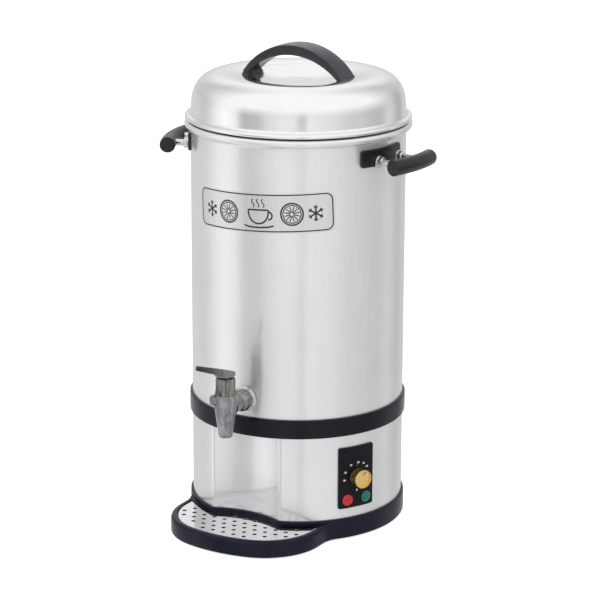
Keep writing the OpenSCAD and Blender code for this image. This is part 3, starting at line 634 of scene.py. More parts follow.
def walls(loops, closed=False):
    """Faces between loops of points that all have the same count."""
    k = len(loops[0])
    verts = [Vector(p) for lp in loops for p in lp]
    faces = []
    for i in range(len(loops) if closed else len(loops) - 1):
        j = (i + 1) % len(loops)
        for q in range(k):
            w = (q + 1) % k
            faces.append((i * k + q, i * k + w, j * k + w, j * k + q))
    return verts, faces


TURN = Matrix.Rotation(math.radians(TRAY_TURN), 4, "Z")
skirt = [[(x, y, z) for x, y in bay(d)] for d, z in ((0, 19), (0, 27), (0, 60), (0, 100), (0, 137.9), (-0.8, 137.9), (-0.8, 100), (-0.8, 60), (-0.8, 19))]
build("skirt_shell", *moved(walls(skirt, True), TURN), STEEL, "boiler", "polished_steel", ["base_skirt"], 50)

band = ([(128, 138.0), (BODY_R + 0.06, 138.0), (BODY_R + 0.06, 136.0), (136.6, 136.0)]
        + arc(136.9, 137.3, 1.3, -90, 0, 5) + [(138.3, 143), (138.35, 148), (138.3, 153)]
        + arc(136.9, 158.7, 1.3, 0, 90, 5) + [(BODY_R + 0.06, 160.0), (BODY_R + 0.06, 150.0), (128, 150.0)])
crescent = [p for p in bay(-1.0) if p[1] < -60 and math.hypot(p[0], p[1] - NICHE_Y) < NICHE_R + 2.0]
crescent = sorted(crescent)
front = [(BODY_R * math.sin(math.radians(a)), -BODY_R * math.cos(math.radians(a))) for a in range(22, -23, -2)]
roof = crescent + front
roof_v, roof_f = fill([roof], in_poly(roof), 0, lambda x, y: 138.02)
top_v = [Vector((v.x, v.y, 139.4)) for v in roof_v]
roof_part = join((roof_v, roof_f), (top_v, roof_f), walls([[(x, y, 138.02) for x, y in roof], [(x, y, 139.4) for x, y in roof]]))
build("trim_band_moulding", *join(lathe(band, 256, True), moved(roof_part, TURN)), BLACK_GLOSS, "boiler", "black_gloss", ["trim_band"], 45)

# ------------------------------------------------------------------ lid

dome = []
for i in range(57):
    t = math.pi / 2 * i / 56
    dome.append((DOME_R - DOME_A + DOME_A * math.cos(t) ** (2 / DOME_N), DOME_Z + (CROWN_Z - DOME_Z) * math.sin(t) ** (2 / DOME_N)))
crown = [(90, CROWN_Z - 0.1), (86, CROWN_Z - 0.3), (82, CROWN_Z - 0.65), (78, CROWN_Z - 1.15), (75, CROWN_Z - 1.6)]
lip = [(72.6, CROWN_Z - 2.0), (71.2, CROWN_Z - 2.35), (70.2, CROWN_Z - 2.8), (69.4, CROWN_Z - 3.3), (68.2, CROWN_Z - 3.75)]
cone = [(60, 567.15), (50, 565.3), (40, 563.55), (30, 561.75), (26, 561.1), (23.5, 560.82), (21, 560.72), (12, 560.7), (0, 560.7)]
top = dome + crown + lip + cone


def lid_z(r):
    """Height of the lid's top face inside the crown."""
    pts = [p for p in reversed(top) if p[0] <= 96]
    for (r0, z0), (r1, z1) in zip(pts, pts[1:]):
        if r0 <= r <= r1:
            return z0 + (z1 - z0) * (r - r0) / max(1e-9, r1 - r0)
    return pts[-1][1]


bead = ([(DOME_R - 1.6, RIM_Z - 7), (DOME_R - 0.9, RIM_Z - 7), (DOME_R - 0.9, RIM_Z + 0.1), (138.9, RIM_Z + 0.1), (138.9, 515.0)]
        + arc(139.45, 517.3, 2.7, -78, 84, 16) + [(138.7, 520.06), (137.4, 520.25), (136.3, 520.6), (135.4, 521.2), (134.8, 522.0), (134.45, 523.1), (134.32, 524.6)])
under = [(max(0, r - (1.5 if r > 100 else 0.0)), z - 1.0) for r, z in top]
lid_profile = bead + top + [(0, DISH_Z - 1.0)] + [p for p in reversed(under)][1:] + [(DOME_R - 1.6, DOME_Z - 1.0)]
lid_v, lid_f = lathe(lid_profile, 256, True)
# painted shade: the faces under the bead, where the lid sits on the rim, take dark rubber to stand for the shaded gap
# there
gap_shade = [int(all(RIM_Z <= lid_v[i].z <= 515.1 and math.hypot(lid_v[i].x, lid_v[i].y) < 139 for i in q)) for q in lid_f]
build("lid_dome", lid_v, lid_f, STEEL_LID, "lid", "polished_steel", ["lid_shell"], 50, mats=[STEEL_LID, RUBBER], face_mats=gap_shade)


def strap():
    """The lid's handle: a crescent arch whose feet lie on the dish, its long edges rounded."""
    zo = lambda x: CROWN_Z + 36.0 - 85.4 + math.sqrt(85.4 ** 2 - x * x)
    zi = lambda x: CROWN_Z + 36.0 - 13.1 - 90.8 + math.sqrt(90.8 ** 2 - x * x)
    half, off = 17.0, 0.0
    xs = [71.4 * math.sin(math.pi / 2 * i / 44) for i in range(-44, 45)]
    verts, faces, k = [], [], None
    for x in xs:
        z1 = zo(x)
        z0 = zi(x)
        floor = lid_z(min(94, abs(x + off))) - 0.3
        low = max(z0, floor) if abs(x) > 40 else z0
        low = min(low, z1 - 0.5)
        t = z1 - low
        rt, rb = min(1.1, t * 0.40), min(0.7, t * 0.25)
        crownh = min(0.7, t * 0.12)
        sec = []
        for a in range(0, 91, 15):
            sec.append((half - rt + rt * math.cos(math.radians(a)), z1 - crownh - rt + rt * math.sin(math.radians(a))))
        for i in range(1, 8):
            y = (half - rt) * (1 - i / 4)
            sec.append((y, z1 - crownh * (y / (half - rt)) ** 2))
        for a in range(90, 181, 15):
            sec.append((-half + rt + rt * math.cos(math.radians(a)), z1 - crownh - rt + rt * math.sin(math.radians(a))))
        for a in range(180, 271, 30):
            sec.append((-half + rb + rb * math.cos(math.radians(a)), low + rb + rb * math.sin(math.radians(a))))
        for i in range(1, 6):
            sec.append(((-half + rb) * (1 - i / 3), low))
        for a in range(270, 361, 30):
            sec.append((half - rb + rb * math.cos(math.radians(a)), low + rb + rb * math.sin(math.radians(a))))
        k = len(sec)
        verts += [Vector((x + off, y, z)) for y, z in sec]
    for i in range(len(xs) - 1):
        for q in range(k):
            w = (q + 1) % k
            faces.append((i * k + q, i * k + w, (i + 1) * k + w, (i + 1) * k + q))
    faces += [tuple(range(k)), tuple((len(xs) - 1) * k + q for q in range(k))]
    m = Matrix.Rotation(math.radians(LID_TURN), 4, "Z")
    return [m @ v for v in verts], faces


build("lid_strap", *strap(), STRAP, "lid", "black_satin", ["lid_handle"], 40)

# ------------------------------------------------------------------ side handles


def grip(phi, ring, up):
    """Half of a curved grip: a half-round shell that meets its twin at a parting line with a fine groove."""
    s = 1 if up else -1
    reach = math.degrees(math.asin(GRIP_HALF / ring))
    sec = [(GRIP_R - 0.35, 0.12 * s), (GRIP_R - 0.06, 0.42 * s)]
    sec += [(GRIP_R * math.cos(math.radians(a)), s * GRIP_R * math.sin(math.radians(a))) for a in range(6, 175, 7)]
    sec += [(-GRIP_R + 0.06, 0.42 * s), (-GRIP_R + 0.35, 0.12 * s)]
    sec += [(-4.6, 0.12 * s)] + [(4.4 * math.cos(math.radians(a)), s * 4.4 * math.sin(math.radians(a))) for a in range(174, 5, -14)] + [(4.6, 0.12 * s)]
    path, scale = [], []
    n = 40
    for i in range(-n, n + 1):
        path.append(reach * i / n)
    # rounded ends: the section draws in over the last millimetre, and the bore stops short of them
    ends = [(0.0, 0.90), (0.03, 0.93), (0.11, 0.965), (0.24, 0.988), (0.42, 1.0), (0.9, 1.0)]
    ends = [(a - reach, f) for a, f in ends]
    stations = ends + [(a, 1.0) for a in path if abs(a) < reach - 1.0] + [(-a, f) for a, f in reversed(ends)]
    verts, faces, k = [], [], len(sec)
    for a, f in stations:
        ang = math.radians(phi + a)
        for q, (u, v) in enumerate(sec):
            g = f if math.hypot(u, v) > 5 else (1.0 if abs(a) < reach - 1.2 else 0.02)
            r = ring + u * g
            verts.append(Vector((r * math.sin(ang), -r * math.cos(ang), HANDLE_Z + v * g)))
    for i in range(len(stations) - 1):
        for q in range(k):
            w = (q + 1) % k
            faces.append((i * k + q, i * k + w, (i + 1) * k + w, (i + 1) * k + q))
    for e in (0, len(stations) - 1):
        faces.append(tuple(e * k + q for q in range(k)))
    return verts, faces


def bracket(phi, ring):
    """The bent rod: two legs out of the wall and a bar round inside the grip."""
    m = radial(phi, HANDLE_Z)
    d1 = math.sqrt(ring ** 2 - LEG_X ** 2)
    path = [Vector((-LEG_X, 0, d)) for d in (136.6, 142, 147, 152, d1 - 7)]
    path += [Vector((-LEG_X + 6 * (1 - math.cos(math.radians(a))), 0, d1 - 6.6 + 6.9 * math.sin(math.radians(a)))) for a in (20, 40, 60, 80)]
    half = math.degrees(math.asin((LEG_X - 6.5) / ring))
    path += [Vector((ring * math.sin(math.radians(a)), 0, ring * math.cos(math.radians(a)))) for a in [-half + 2 * half * i / 10 for i in range(11)]]
    back = [Vector((-p.x, p.y, p.z)) for p in reversed(path[:9])]
    circle = [(LEG_R * math.cos(2 * math.pi * i / 24), LEG_R * math.sin(2 * math.pi * i / 24)) for i in range(24)]
    return moved(sweep(path + back, circle, up=Vector((0, 1, 0))), m)


def leg_nut(phi, s):
    """Lock nut with a washer face against the plate."""
    m = radial(phi, HANDLE_Z) @ Matrix.Translation((s, 0, 0))
    seat = math.sqrt(PLATE_R ** 2 - LEG_X ** 2)
    nut = prism(hexagon(7.0, 6, 30), seat + 0.9, seat + 6.0, LEG_R + 0.05, 0.8)
    ring = lathe([(LEG_R + 0.05, seat - 0.9), (7.6, seat - 0.9), (7.9, seat - 0.6), (7.9, seat + 0.5), (7.6, seat + 0.9), (LEG_R + 0.05, seat + 0.9)], 40, True)
    return join(moved(nut, m), moved(ring, m))


for side, phi, off, ring in HANDLES:
    plate = curved_plate(74.9, 22, 4.5, on_cyl(phi + off, PLATE_Z, BODY_R), 0.02, 3.1, 1.0, steps=5)
    build("plate_" + side, *plate, BLACK_SATIN, "boiler", "black_satin", ["handle_plate_" + side], 45)
    build("rod_" + side, *bracket(phi, ring), FITTING, "boiler", "steel_fittings", ["handle_bracket_" + side], 45)
    build("grip_top_" + side, *grip(phi, ring, True), BLACK_SATIN, "boiler", "black_satin", ["grip_upper_" + side], 42)
    build("grip_under_" + side, *grip(phi, ring, False), BLACK_SATIN, "boiler", "black_satin", ["grip_lower_" + side], 42)
nuts = join(*[leg_nut(h[1], s) for h in HANDLES for s in (-LEG_X, LEG_X)])
build("leg_nuts", *nuts, FITTING, "boiler", "steel_fittings", ["handle_nuts"], 30)

# ------------------------------------------------------------------ tap


def tap_body():
    m = Matrix.Translation((0, -TAP_R, 0))
    outer = ([(6.5, 148.0), (7.0, 147.9)] + arc(6.9, 149.5, 1.6, -85, -10, 6)
             + [(9.0, 152), (9.7, 157), (10.6, 163), (11.6, 170), (12.6, 177), (13.6, 184), (14.6, 190), (15.3, 194.0), (15.65, 196.6), (15.7, 198.6),
                (15.45, 200.2), (14.9, 201.2), (14.2, 201.75), (13.9, 201.9), (13.75, 202.2)]
             + arc(13.4, 202.6, 0.4, 0, 90, 3) + [(11.0, 203.0), (11.0, 184), (9.8, 178), (9.8, 174.0), (6.5, 174.0)])
    cone = moved(lathe(outer, 96, True), m)
    # shank, its bulged collar against the wall, the screw thread inside the vessel
    side = Matrix.Translation((0, 0, TAP_Z)) @ Matrix.Rotation(math.radians(90), 4, "X")
    thread = []
    for i in range(44):
        d = 106.4 + i * 0.55
        thread.append((9.75 + (0.45 if i % 2 else 0.0), d))
    collar = ([(7.0, 106.0), (9.6, 106.0)] + thread + [(10.2, 131), (10.2, 138.9), (12.6, 138.9)]
              + [(13.35, 139.5), (13.75, 141), (13.95, 143.4), (13.9, 145.8), (13.5, 148), (12.7, 150.2), (11.5, 151.9), (10.3, 152.9), (9.8, 153.6), (9.7, 155), (9.8, 160), (10.2, 166), (11.2, 171.5), (11.5, 173.0)]
              + [(7.0, 173.0)])
    return cone, moved(lathe(collar, 80, True), side)


cone_part, shank_part = tap_body()
nc, ns = len(cone_part[1]), len(shank_part[1])
build("tap_cone", *join(cone_part, shank_part), None, "boiler", "smoke_plastic", ["tap_body"], 40,
      mats=[SMOKE, COLLAR], face_mats=[0] * nc + [1] * ns)


def tap_lug():
    """Round boss at the front left of the body with a shallow dimple in its face."""
    m = (Matrix.Translation((0, -TAP_R, 196.6)) @ Matrix.Rotation(math.radians(-38), 4, "Z") @ Matrix.Rotation(math.radians(90), 4, "X"))
    boss = lathe([(0.0, 11.0), (6.7, 11.0), (6.6, 15.0), (6.4, 17.4)] + arc(4.7, 17.6, 1.6, 0, 90, 6) + [(3.4, 19.2), (2.5, 18.9), (2.2, 18.4), (1.2, 18.2), (0, 18.15)], 48, True)
    return moved(boss, m)


build("tap_lug", *tap_lug(), COLLAR, "boiler", "smoke_plastic", (), 40)

washer_m = Matrix.Translation((0, 0, TAP_Z)) @ Matrix.Rotation(math.radians(90), 4, "X")
washer = ([(10.25, 136.5), (15.6, 136.5)] + arc(15.55, 137.0, 0.5, -80, 85, 6) + [(15.0, 137.35), (14.7, 137.1), (14.35, 137.1)]
          + arc(13.75, 137.75, 0.62, -30, 90, 6) + [(13.2, 138.5), (12.9, 138.95), (10.25, 138.95)])
build("tap_ring", *moved(lathe(washer, 96, True), washer_m), CHROME, "boiler", "chrome_trim", ["tap_washer"], 40)


def bonnet():
    """Screwed bonnet with upright flutes for the fingers and two ears for the lever's pin."""
    n = 144
    prof = [(10.9, 195.0), (10.9, 203.02), (12.7, 203.02), (13.0, 203.5), (13.0, 206.4), (12.7, 207.0), (12.2, 207.4), (12.2, 221.4), (11.9, 222.8), (11.2, 223.7), (10.2, 224.0), (2.56, 224.0), (2.56, 220.0), (8.5, 220.0), (8.5, 195.0)]
    verts, faces = [], []
    k = len(prof)
    for i in range(n):
        a = 2 * math.pi * i / n
        groove = 0.7 * (0.5 - 0.5 * math.cos(10 * a)) ** 3
        for r, z in prof:
            q = r - groove if (r > 11.0 and 207.3 < z < 223.0) else r
            verts.append(Vector((q * math.cos(a), -TAP_R + q * math.sin(a), z)))
    for i in range(n):
        j = (i + 1) % n
        for q in range(k):
            w = (q + 1) % k
            faces.append((i * k + q, j * k + q, j * k + w, i * k + w))
    parts = [(verts, faces)]
    for x0 in (-6.7, 5.1):
        ear = arc(0, 0, 2.4, -5, 284, 22) + [(0.6, -3.0), (0.6, -7.3), (0.0, -7.8), (-2.2, -8.0), (-2.4, -9.0), (2.4, -9.0), (2.4, -3)]
        v, f = [], []
        kk = len(ear)
        for x, e in ((x0, 0.94), (x0 + 0.2, 1.0), (x0 + 1.4, 1.0), (x0 + 1.6, 0.94)):
            v += [Vector((x, PIVOT.y + p[0] * e, PIVOT.z + p[1] * (e if p[1] > 0 else 1.0))) for p in ear]
        for i in range(3):
            for q in range(kk):
                w = (q + 1) % kk
                f.append((i * kk + q, i * kk + w, (i + 1) * kk + w, (i + 1) * kk + q))
        f += [tuple(range(kk)), tuple(3 * kk + q for q in range(kk))]
        parts.append((v, f))
    return join(*parts)


build("tap_bonnet_fluted", *bonnet(), SMOKE_DARK, "boiler", "smoke_plastic", ["tap_bonnet"], 35)


def lever():
    """A hood over the bonnet's top, hollow below, that runs out into a straight bar."""
    tilt = Matrix.Translation(PIVOT) @ Matrix.Rotation(math.radians(-LEVER_TILT), 4, "X")
    here = Matrix.Translation(PIVOT)
    tn, cs = math.tan(math.radians(LEVER_TILT)), math.cos(math.radians(LEVER_TILT))

    def plan(e):
        return arc(0, 8, 12.3 - e, 0, 180, 32)[:-1] + arc(0, 5.5, 12.3 - e, 180, 360, 32)[:-1]

    def plane(h, x, y):
        return h / cs - y * tn

    low = -4.9
    loops = [[(x, y, low) for x, y in plan(1.9)], [(x, y, low) for x, y in plan(0.25)], [(x, y, low + 0.25) for x, y in plan(0.0)]]
    steps, rad = 6, 1.7
    for i in range(steps + 1):
        a = math.pi / 2 * i / steps
        base = plan(0.0)
        lp = []
        for (x, y), (bx, by) in zip(plan(rad * (1 - math.cos(a))), base):
            z = plane(4.4, x, y) - rad * (1 - math.sin(a))
            lp.append((x, y, max(z, low + 0.4)))
        loops.append(lp)
    shell = walls(loops)
    top = [(p[0], p[1]) for p in loops[-1]]
    tv, tf = fill([top], in_poly(top), 2.0)
    cap_ = ([Vector((v.x, v.y, plane(4.4, v.x, v.y))) for v in tv], tf)
    inside = plan(1.9)
    deep = walls([[(x, y, low) for x, y in inside], [(x, y, max(low + 0.2, plane(3.2, x, y))) for x, y in inside]])
    iv, if_ = fill([inside], in_poly(inside), 2.0)
    ceil = ([Vector((v.x, v.y, max(low + 0.2, plane(3.2, v.x, v.y)))) for v in iv], if_)
    parts = [moved(q, here) for q in (shell, cap_, deep, ceil)]
    # the bar: a flat-sided bar with softened edges, thinner towards its tip
    verts, faces = [], []
    st = [(1.0, 4.1, 4.2, -4.1), (8, 4.25, 4.2, -4.05), (20, 4.25, 3.92, -3.8), (34, 4.25, 3.58, -3.52), (48, 4.25, 3.22, -3.2), (57.2, 4.25, 2.98, -3.0),
          (58.5, 4.1, 2.8, -2.85), (59.2, 3.7, 2.4, -2.5), (59.5, 3.2, 1.9, -2.0)]
    k = None
    for d, hw, zt, zb in st:
        r = 1.1
        sec = (arc(hw - r, zt - r, r, 0, 90, 4) + arc(-hw + r, zt - r, r, 90, 180, 4) + arc(-hw + r, zb + r, r, 180, 270, 4) + arc(hw - r, zb + r, r, 270, 360, 4))
        k = len(sec)
        verts += [tilt @ Vector((x, -d, z)) for x, z in sec]
    for i in range(len(st) - 1):
        for q in range(k):
            w = (q + 1) % k
            faces.append((i * k + q, i * k + w, (i + 1) * k + w, (i + 1) * k + q))
    faces += [tuple(range(k)), tuple((len(st) - 1) * k + q for q in range(k))]
    parts.append((verts, faces))
    # fork under the hood that lifts the stem's cross pin
    fork = [(12.6, -3.2), (12.6, 3.3), (4.6, 3.3), (4.6, 2.4), (10.0, 2.4), (10.0, -0.9), (4.6, -0.9), (4.6, -3.2)]
    for x0 in (-7.3, 4.2):
        v = [tilt @ Vector((x, y, z)) for x in (x0, x0 + 3.1) for y, z in fork]
        n = len(fork)
        f = [(q, (q + 1) % n, n + (q + 1) % n, n + q) for q in range(n)] + [tuple(range(n)), tuple(range(n, 2 * n))]
        parts.append((v, f))
    hub = lathe([(1.56, -4.9), (3.8, -4.9), (4.1, -4.6), (4.1, 4.6), (3.8, 4.9), (1.56, 4.9)], 40, True)
    parts.append(moved(hub, here @ Matrix.Rotation(math.radians(90), 4, "Y")))
    return join(*parts)


build("tap_lever_bar", *lever(), LEVER_MAT, "lever", "smoke_plastic", ["tap_lever"], 40)


def spring():
    """Return spring of round wire: its end turns lie flat, on the seat cup and under the bonnet's top."""
    turns, per, around = 9.0, 28, 10
    n = int(turns * per)
    verts, faces = [], []
    for i in range(n + 1):
        t = turns * i / n
        a = 2 * math.pi * t
        z = 181.0 + 38.0 * min(1.0, max(0.0, (t - 0.7) / (turns - 1.4)))
        for q in range(around):
            b = 2 * math.pi * q / around
            r = 6.4 + 0.68 * math.cos(b)
            verts.append(Vector((r * math.cos(a), -TAP_R + r * math.sin(a), z + 0.68 * math.sin(b))))
    for i in range(n):
        for q in range(around):
            w = (q + 1) % around
            faces.append((i * around + q, i * around + w, (i + 1) * around + w, (i + 1) * around + q))
    faces += [tuple(range(around)), tuple(n * around + q for q in range(around))]
    return verts, faces


coil = build("tap_spring_coil", *spring(), FITTING, None, "steel_fittings", ["tap_spring"], 50)
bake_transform(coil)

# ------------------------------------------------------------------ base and drip tray

CORNER = (24.5, -121.5)
CORNER_R = TRAY_HW - CORNER[0]
FRONT_R = 101.5 + CORNER_R
FRONT_C = (0.0, -23.0)
CORNER_A = math.degrees(math.atan2(CORNER[1] - FRONT_C[1], CORNER[0] - FRONT_C[0]))
FIL_R = 35.0
FIL_X = TRAY_HW + FIL_R
FIL_Y = -math.sqrt((BASE_R + FIL_R) ** 2 - FIL_X ** 2)
FIL_A = math.degrees(math.atan2(-FIL_Y, -FIL_X))


def outline(e):
    """Plan of the base drawn in by e: ring, hollow blends, tray. Runs clockwise from the back."""
    ring_a = math.degrees(math.atan2(FIL_Y, FIL_X))
    right = arc(0, 0, BASE_R - e, 90, ring_a, 60)
    right += arc(FIL_X, FIL_Y, FIL_R + e, FIL_A, 180, 14)[1:]
    right += [(TRAY_HW - e, FIL_Y + (CORNER[1] - FIL_Y) * i / 5) for i in range(1, 5)]
    right += arc(CORNER[0], CORNER[1], CORNER_R - e, 0, CORNER_A, 30)
    right += arc(FRONT_C[0], FRONT_C[1], FRONT_R - e, CORNER_A, -90, 10)[1:]
    return right + [(-x, y) for x, y in reversed(right[1:-1])]


def recess(e, back, nr):
    """Plan of the tray's hollow: the tray drawn in by e, up to a circle round the skirt and into its bay."""
    x = TRAY_HW - e
    y = -math.sqrt(back * back - x * x)
    right = [(x, y + (CORNER[1] - y) * i / 4) for i in range(1, 4)]
    right += arc(CORNER[0], CORNER[1], CORNER_R - e, 0, CORNER_A, 26)
    right += arc(FRONT_C[0], FRONT_C[1], FRONT_R - e, CORNER_A, -90, 10)[1:]
    front = right + [(-a, b) for a, b in reversed(right[:-1])]
    sy = (back * back - nr * nr + NICHE_Y * NICHE_Y) / (2 * NICHE_Y)
    sx = math.sqrt(back * back - sy * sy)
    a0, a1 = math.degrees(math.atan2(y, x)), math.degrees(math.atan2(sy, sx))
    b1 = math.degrees(math.atan2(sy - NICHE_Y, sx))
    rear = arc(0, 0, back, -180 - a0, -180 - a1, 24) + arc(0, NICHE_Y, nr, 180 - b1, b1, 52)[1:-1] + arc(0, 0, back, a1, a0, 24)
    for _ in range(14):                 # the shoulders run in a soft S
        rear = [rear[0]] + [((p[0] + 2 * q[0] + r[0]) / 4, (p[1] + 2 * q[1] + r[1]) / 4) for p, q, r in zip(rear, rear[1:], rear[2:])] + [rear[-1]]
    return front + rear


def rim_z(x, y):
    """Height of the moulding's top: the tray's rim, rising to the ring where the two blend."""
    return TRAY_H + (RING_H - 0.4 - TRAY_H) * smoothstep((y + 112) / 34.0)


def base_moulding():
    parts = []
    # outer wall with a rounded foot and a rounded shoulder
    rings = [(1.3, 1.0), (0.6, 1.2), (0.15, 1.75), (0.0, 2.6)]
    steps = 7
    outs = outline(0)
    k = len(outs)
    verts, faces = [], []
    loops = []
    for e, z in rings:
        loops.append([(p[0], p[1], z) for p in outline(e)])
    for i in range(steps + 1):
        a = math.pi / 2 * i / steps
        lo = []
        for j, p in enumerate(outs):
            t = smoothstep((p[1] + 112) / 34.0)
            rad = 4.6 + (2.4 - 4.6) * t
            lo.append((rad * (1 - math.cos(a)), rad * (1 - math.sin(a)), j))
        ins = {}
        loop = []
        for e, dz, j in lo:
            key = round(e, 3)
            if key not in ins:
                ins[key] = outline(e)
            q = ins[key][j]
            loop.append((q[0], q[1], rim_z(outs[j][0], outs[j][1]) - dz))
        loops.append(loop)
    for lp in loops:
        verts += [Vector(p) for p in lp]
    for i in range(len(loops) - 1):
        for q in range(k):
            w = (q + 1) % k
            faces.append((i * k + q, i * k + w, (i + 1) * k + w, (i + 1) * k + q))
    parts.append((verts, faces))
    # top: between the shoulder, the ring's lip and the hollow
    shoulder = [(p[0], p[1]) for p in loops[-1]]
    hollow = recess(7.4, 142.1, 107.9)
    t_sh, t_ho = in_poly(shoulder), in_poly(hollow)
    lipc = bay(2.5)
    t_lip = in_poly(lipc)

    def on_top(x, y):
        return t_sh(x, y) and not t_ho(x, y) and not t_lip(x, y) and y < -60

    tv, tf = fill([shoulder, hollow, lipc], on_top, 5.0, rim_z)
    parts.append((tv, tf))
    # the hollow's edge, its step for the grate, the well and its floor
    edge = [((7.4, 142.1, 107.9), 0.0), ((7.75, 141.75, 107.7), -0.18), ((8.0, 141.5, 107.5), -0.7), ((8.0, 141.5, 107.5), -2.5),
            ((11.0, 145.0, 102.0), -2.5), ((11.3, 145.3, 101.7), -3.0), ((11.6, 145.6, 101.4), 9.2 - TRAY_H), ((12.8, 146.8, 100.2), 8.0 - TRAY_H)]
    loops = [[(p[0], p[1], rim_z(p[0], p[1]) if dz == 0.0 else TRAY_H + dz) for p in recess(*arg)] for arg, dz in edge]
    parts.append(walls(loops))
    fl = [(p[0], p[1]) for p in loops[-1]]
    fv, ff = fill([fl], in_poly(fl), 0, lambda x, y: 8.0)
    parts.append((fv, ff))
    # underside and the inner steps that carry the skirt and the bottom plate
    foot = outline(1.3)
    hole = [(121.0 * math.cos(2 * math.pi * i / 160), 121.0 * math.sin(2 * math.pi * i / 160)) for i in range(160)]
    tfoot = in_poly(foot)
    uv, uf = fill([foot, hole], lambda x, y: tfoot(x, y) and math.hypot(x, y) > 120.9, 0, lambda x, y: 1.0)
    parts.append((uv, uf))
    # the lip round the skirt's foot follows its bay
    lip_ = [(0.05, 18.9), (0.05, 26.3), (0.3, 26.8)] + [(1.45 + 1.5 * math.cos(math.radians(a)), 25.45 + 1.5 * math.sin(math.radians(a))) for a in range(125, -1, -25)] + [(2.95, 19.6)]
    parts.append(walls([[(x, y, z) for x, y in bay(d)] for d, z in lip_]))
    tray = moved(join(*parts), TURN)
    inner = lathe([(121.0, 1.0), (121.0, 7.2), (112.0, 7.2), (112.0, 18.9), (119.0, 18.9)], 256)
    return join(tray, inner)


build("base_moulding", *base_moulding(), BLACK_BASE, "boiler", "black_gloss", ["base_ring"], 32)


def grate():
    """Perforated plate: pressed holes with a soft edge, the rim turned down a little."""
    e0, b0 = 8.5, 142.0
    rows = GRATE_PITCH * math.sqrt(3) / 2
    test = in_poly(recess(15.0, 149.0, 100.0))
    holes = []
    for j in range(8):
        for i in range(-8, 9):
            p = ((i + (j % 2) / 2) * GRATE_PITCH, -103 - j * rows)
            if test(*p):
                holes.append(p)
    zt, zb = TRAY_H - 1.0, TRAY_H - 2.5
    hr, n = 2.75, 24

    def ring(p, r):
        return [(p[0] + r * math.cos(2 * math.pi * i / n), p[1] + r * math.sin(2 * math.pi * i / n)) for i in range(n)]

    rim_in = recess(e0 + 1.0, b0 + 1.0, 106.0)
    tin = in_poly(rim_in)

    def flat(x, y):
        return tin(x, y) and all((x - p[0]) ** 2 + (y - p[1]) ** 2 > (hr + 0.1) ** 2 * 0.96 for p in holes)

    parts = [fill([rim_in] + [ring(p, hr + 0.12) for p in holes], flat, 0, lambda x, y: zt)]
    rims = [(recess(e0 + 1.0, b0 + 1.0, 106.0), zt), (recess(e0 + 0.35, b0 + 0.35, 106.65), zt - 0.35), (recess(e0, b0, 107.0), zt - 0.9), (recess(e0, b0, 107.0), zb)]
    verts, faces = [], []
    k = len(rims[0][0])
    for lp, z in rims:
        verts += [Vector((p[0], p[1], z)) for p in lp]
    for i in range(len(rims) - 1):
        for q in range(k):
            w = (q + 1) % k
            faces.append((i * k + q, i * k + w, (i + 1) * k + w, (i + 1) * k + q))
    parts.append((verts, faces))
    for p in holes:
        verts, faces = [], []
        prof = [(hr + 0.12, zt), (hr, zt - 0.14), (hr, zb)]
        for r, z in prof:
            verts += [Vector((q[0], q[1], z)) for q in ring(p, r)]
        for i in range(len(prof) - 1):
            for q in range(n):
                w = (q + 1) % n
                faces.append((i * n + q, i * n + w, (i + 1) * n + w, (i + 1) * n + q))
        parts.append((verts, faces))
    rim_out = recess(e0, b0, 107.0)
    tout = in_poly(rim_out)
    parts.append(fill([rim_out] + [ring(p, hr) for p in holes],
                      lambda x, y: tout(x, y) and all((x - p[0]) ** 2 + (y - p[1]) ** 2 > hr * hr * 0.97 for p in holes), 0, lambda x, y: zb))
    return moved(join(*parts), TURN)


plate = build("grate_plate", *grate(), GRATE, "grate", "polished_steel", ["drip_grate"], 30)
for f in plate.data.polygons:
    if abs(f.normal.z) > 0.999:
        f.use_smooth = False

# ------------------------------------------------------------------ control panel

panel_at = on_cyl(PANEL_PHI, KNOB_Z - 0.5, BODY_R)
build("panel_plate", *curved_plate(50.6, 80, 2.2, panel_at, 0.03, 2.6, 0.6, steps=4), PANEL, "boiler", "black_gloss", ["control_panel"], 45)

knob_m = radial(PANEL_PHI, KNOB_Z)


def knob():
    """Turned knob: fluted side, a bright rolled edge and a cup with a brushed floor."""
    n = 240
    prof = [(9.4, 138.9), (11.0, 138.9), (11.5, 139.3), (11.6, 140.2), (11.6, 150.2), (11.8, 150.8), (11.9, 151.4), (11.85, 152.0), (11.55, 152.4), (11.2, 152.5),
            (10.85, 152.4), (10.65, 152.0), (10.5, 151.2), (10.3, 149.6), (10.1, 149.15), (9.7, 149.0), (8.0, 149.0), (6.0, 149.0), (4.0, 149.0), (2.0, 149.0), (0.0, 149.0)]
    flute = {3: 1.0, 4: 1.0}
    verts, faces, fm = [], [], []
    k = len(prof)
    for i in range(n):
        a = 2 * math.pi * i / n
        g = 0.38 * (0.5 + 0.5 * math.cos(48 * a))
        for q, (r, z) in enumerate(prof):
            rr = r - g * flute.get(q, 0.0)
            verts.append(Vector((rr * math.cos(a), rr * math.sin(a), z)))
    for i in range(n):
        j = (i + 1) % n
        for q in range(k - 1):
            faces.append((i * k + q, j * k + q, j * k + q + 1, i * k + q + 1))
            fm.append(0 if q < 4 or 10 < q < 14 else 1)
    inner = lathe([(9.4, 138.9), (9.4, 140.5), (3.0, 140.5)], 80)
    v, f = join((verts, faces), inner)
    fm += [0] * len(inner[1])
    return [knob_m @ Vector(p) for p in v], f, fm


kv, kf, kfm = knob()
build("knob_turned", kv, kf, None, "dial", "brass_tone", ["knob"], 35, mats=[BRASS_SIDE, BRASS_FACE], face_mats=kfm)
dot_m = knob_m @ Matrix.Rotation(math.radians(-32), 4, "Z")
bar = prism(rrect(1.7, 4.6, 0.5, 5), 148.6, 149.5, 0.0, 0.2)
build("pointer_bar", *moved(bar, dot_m @ Matrix.Translation((0, 7.3, 0))), POINTER, "dial", "pointer_red", ["knob_pointer"], 40)


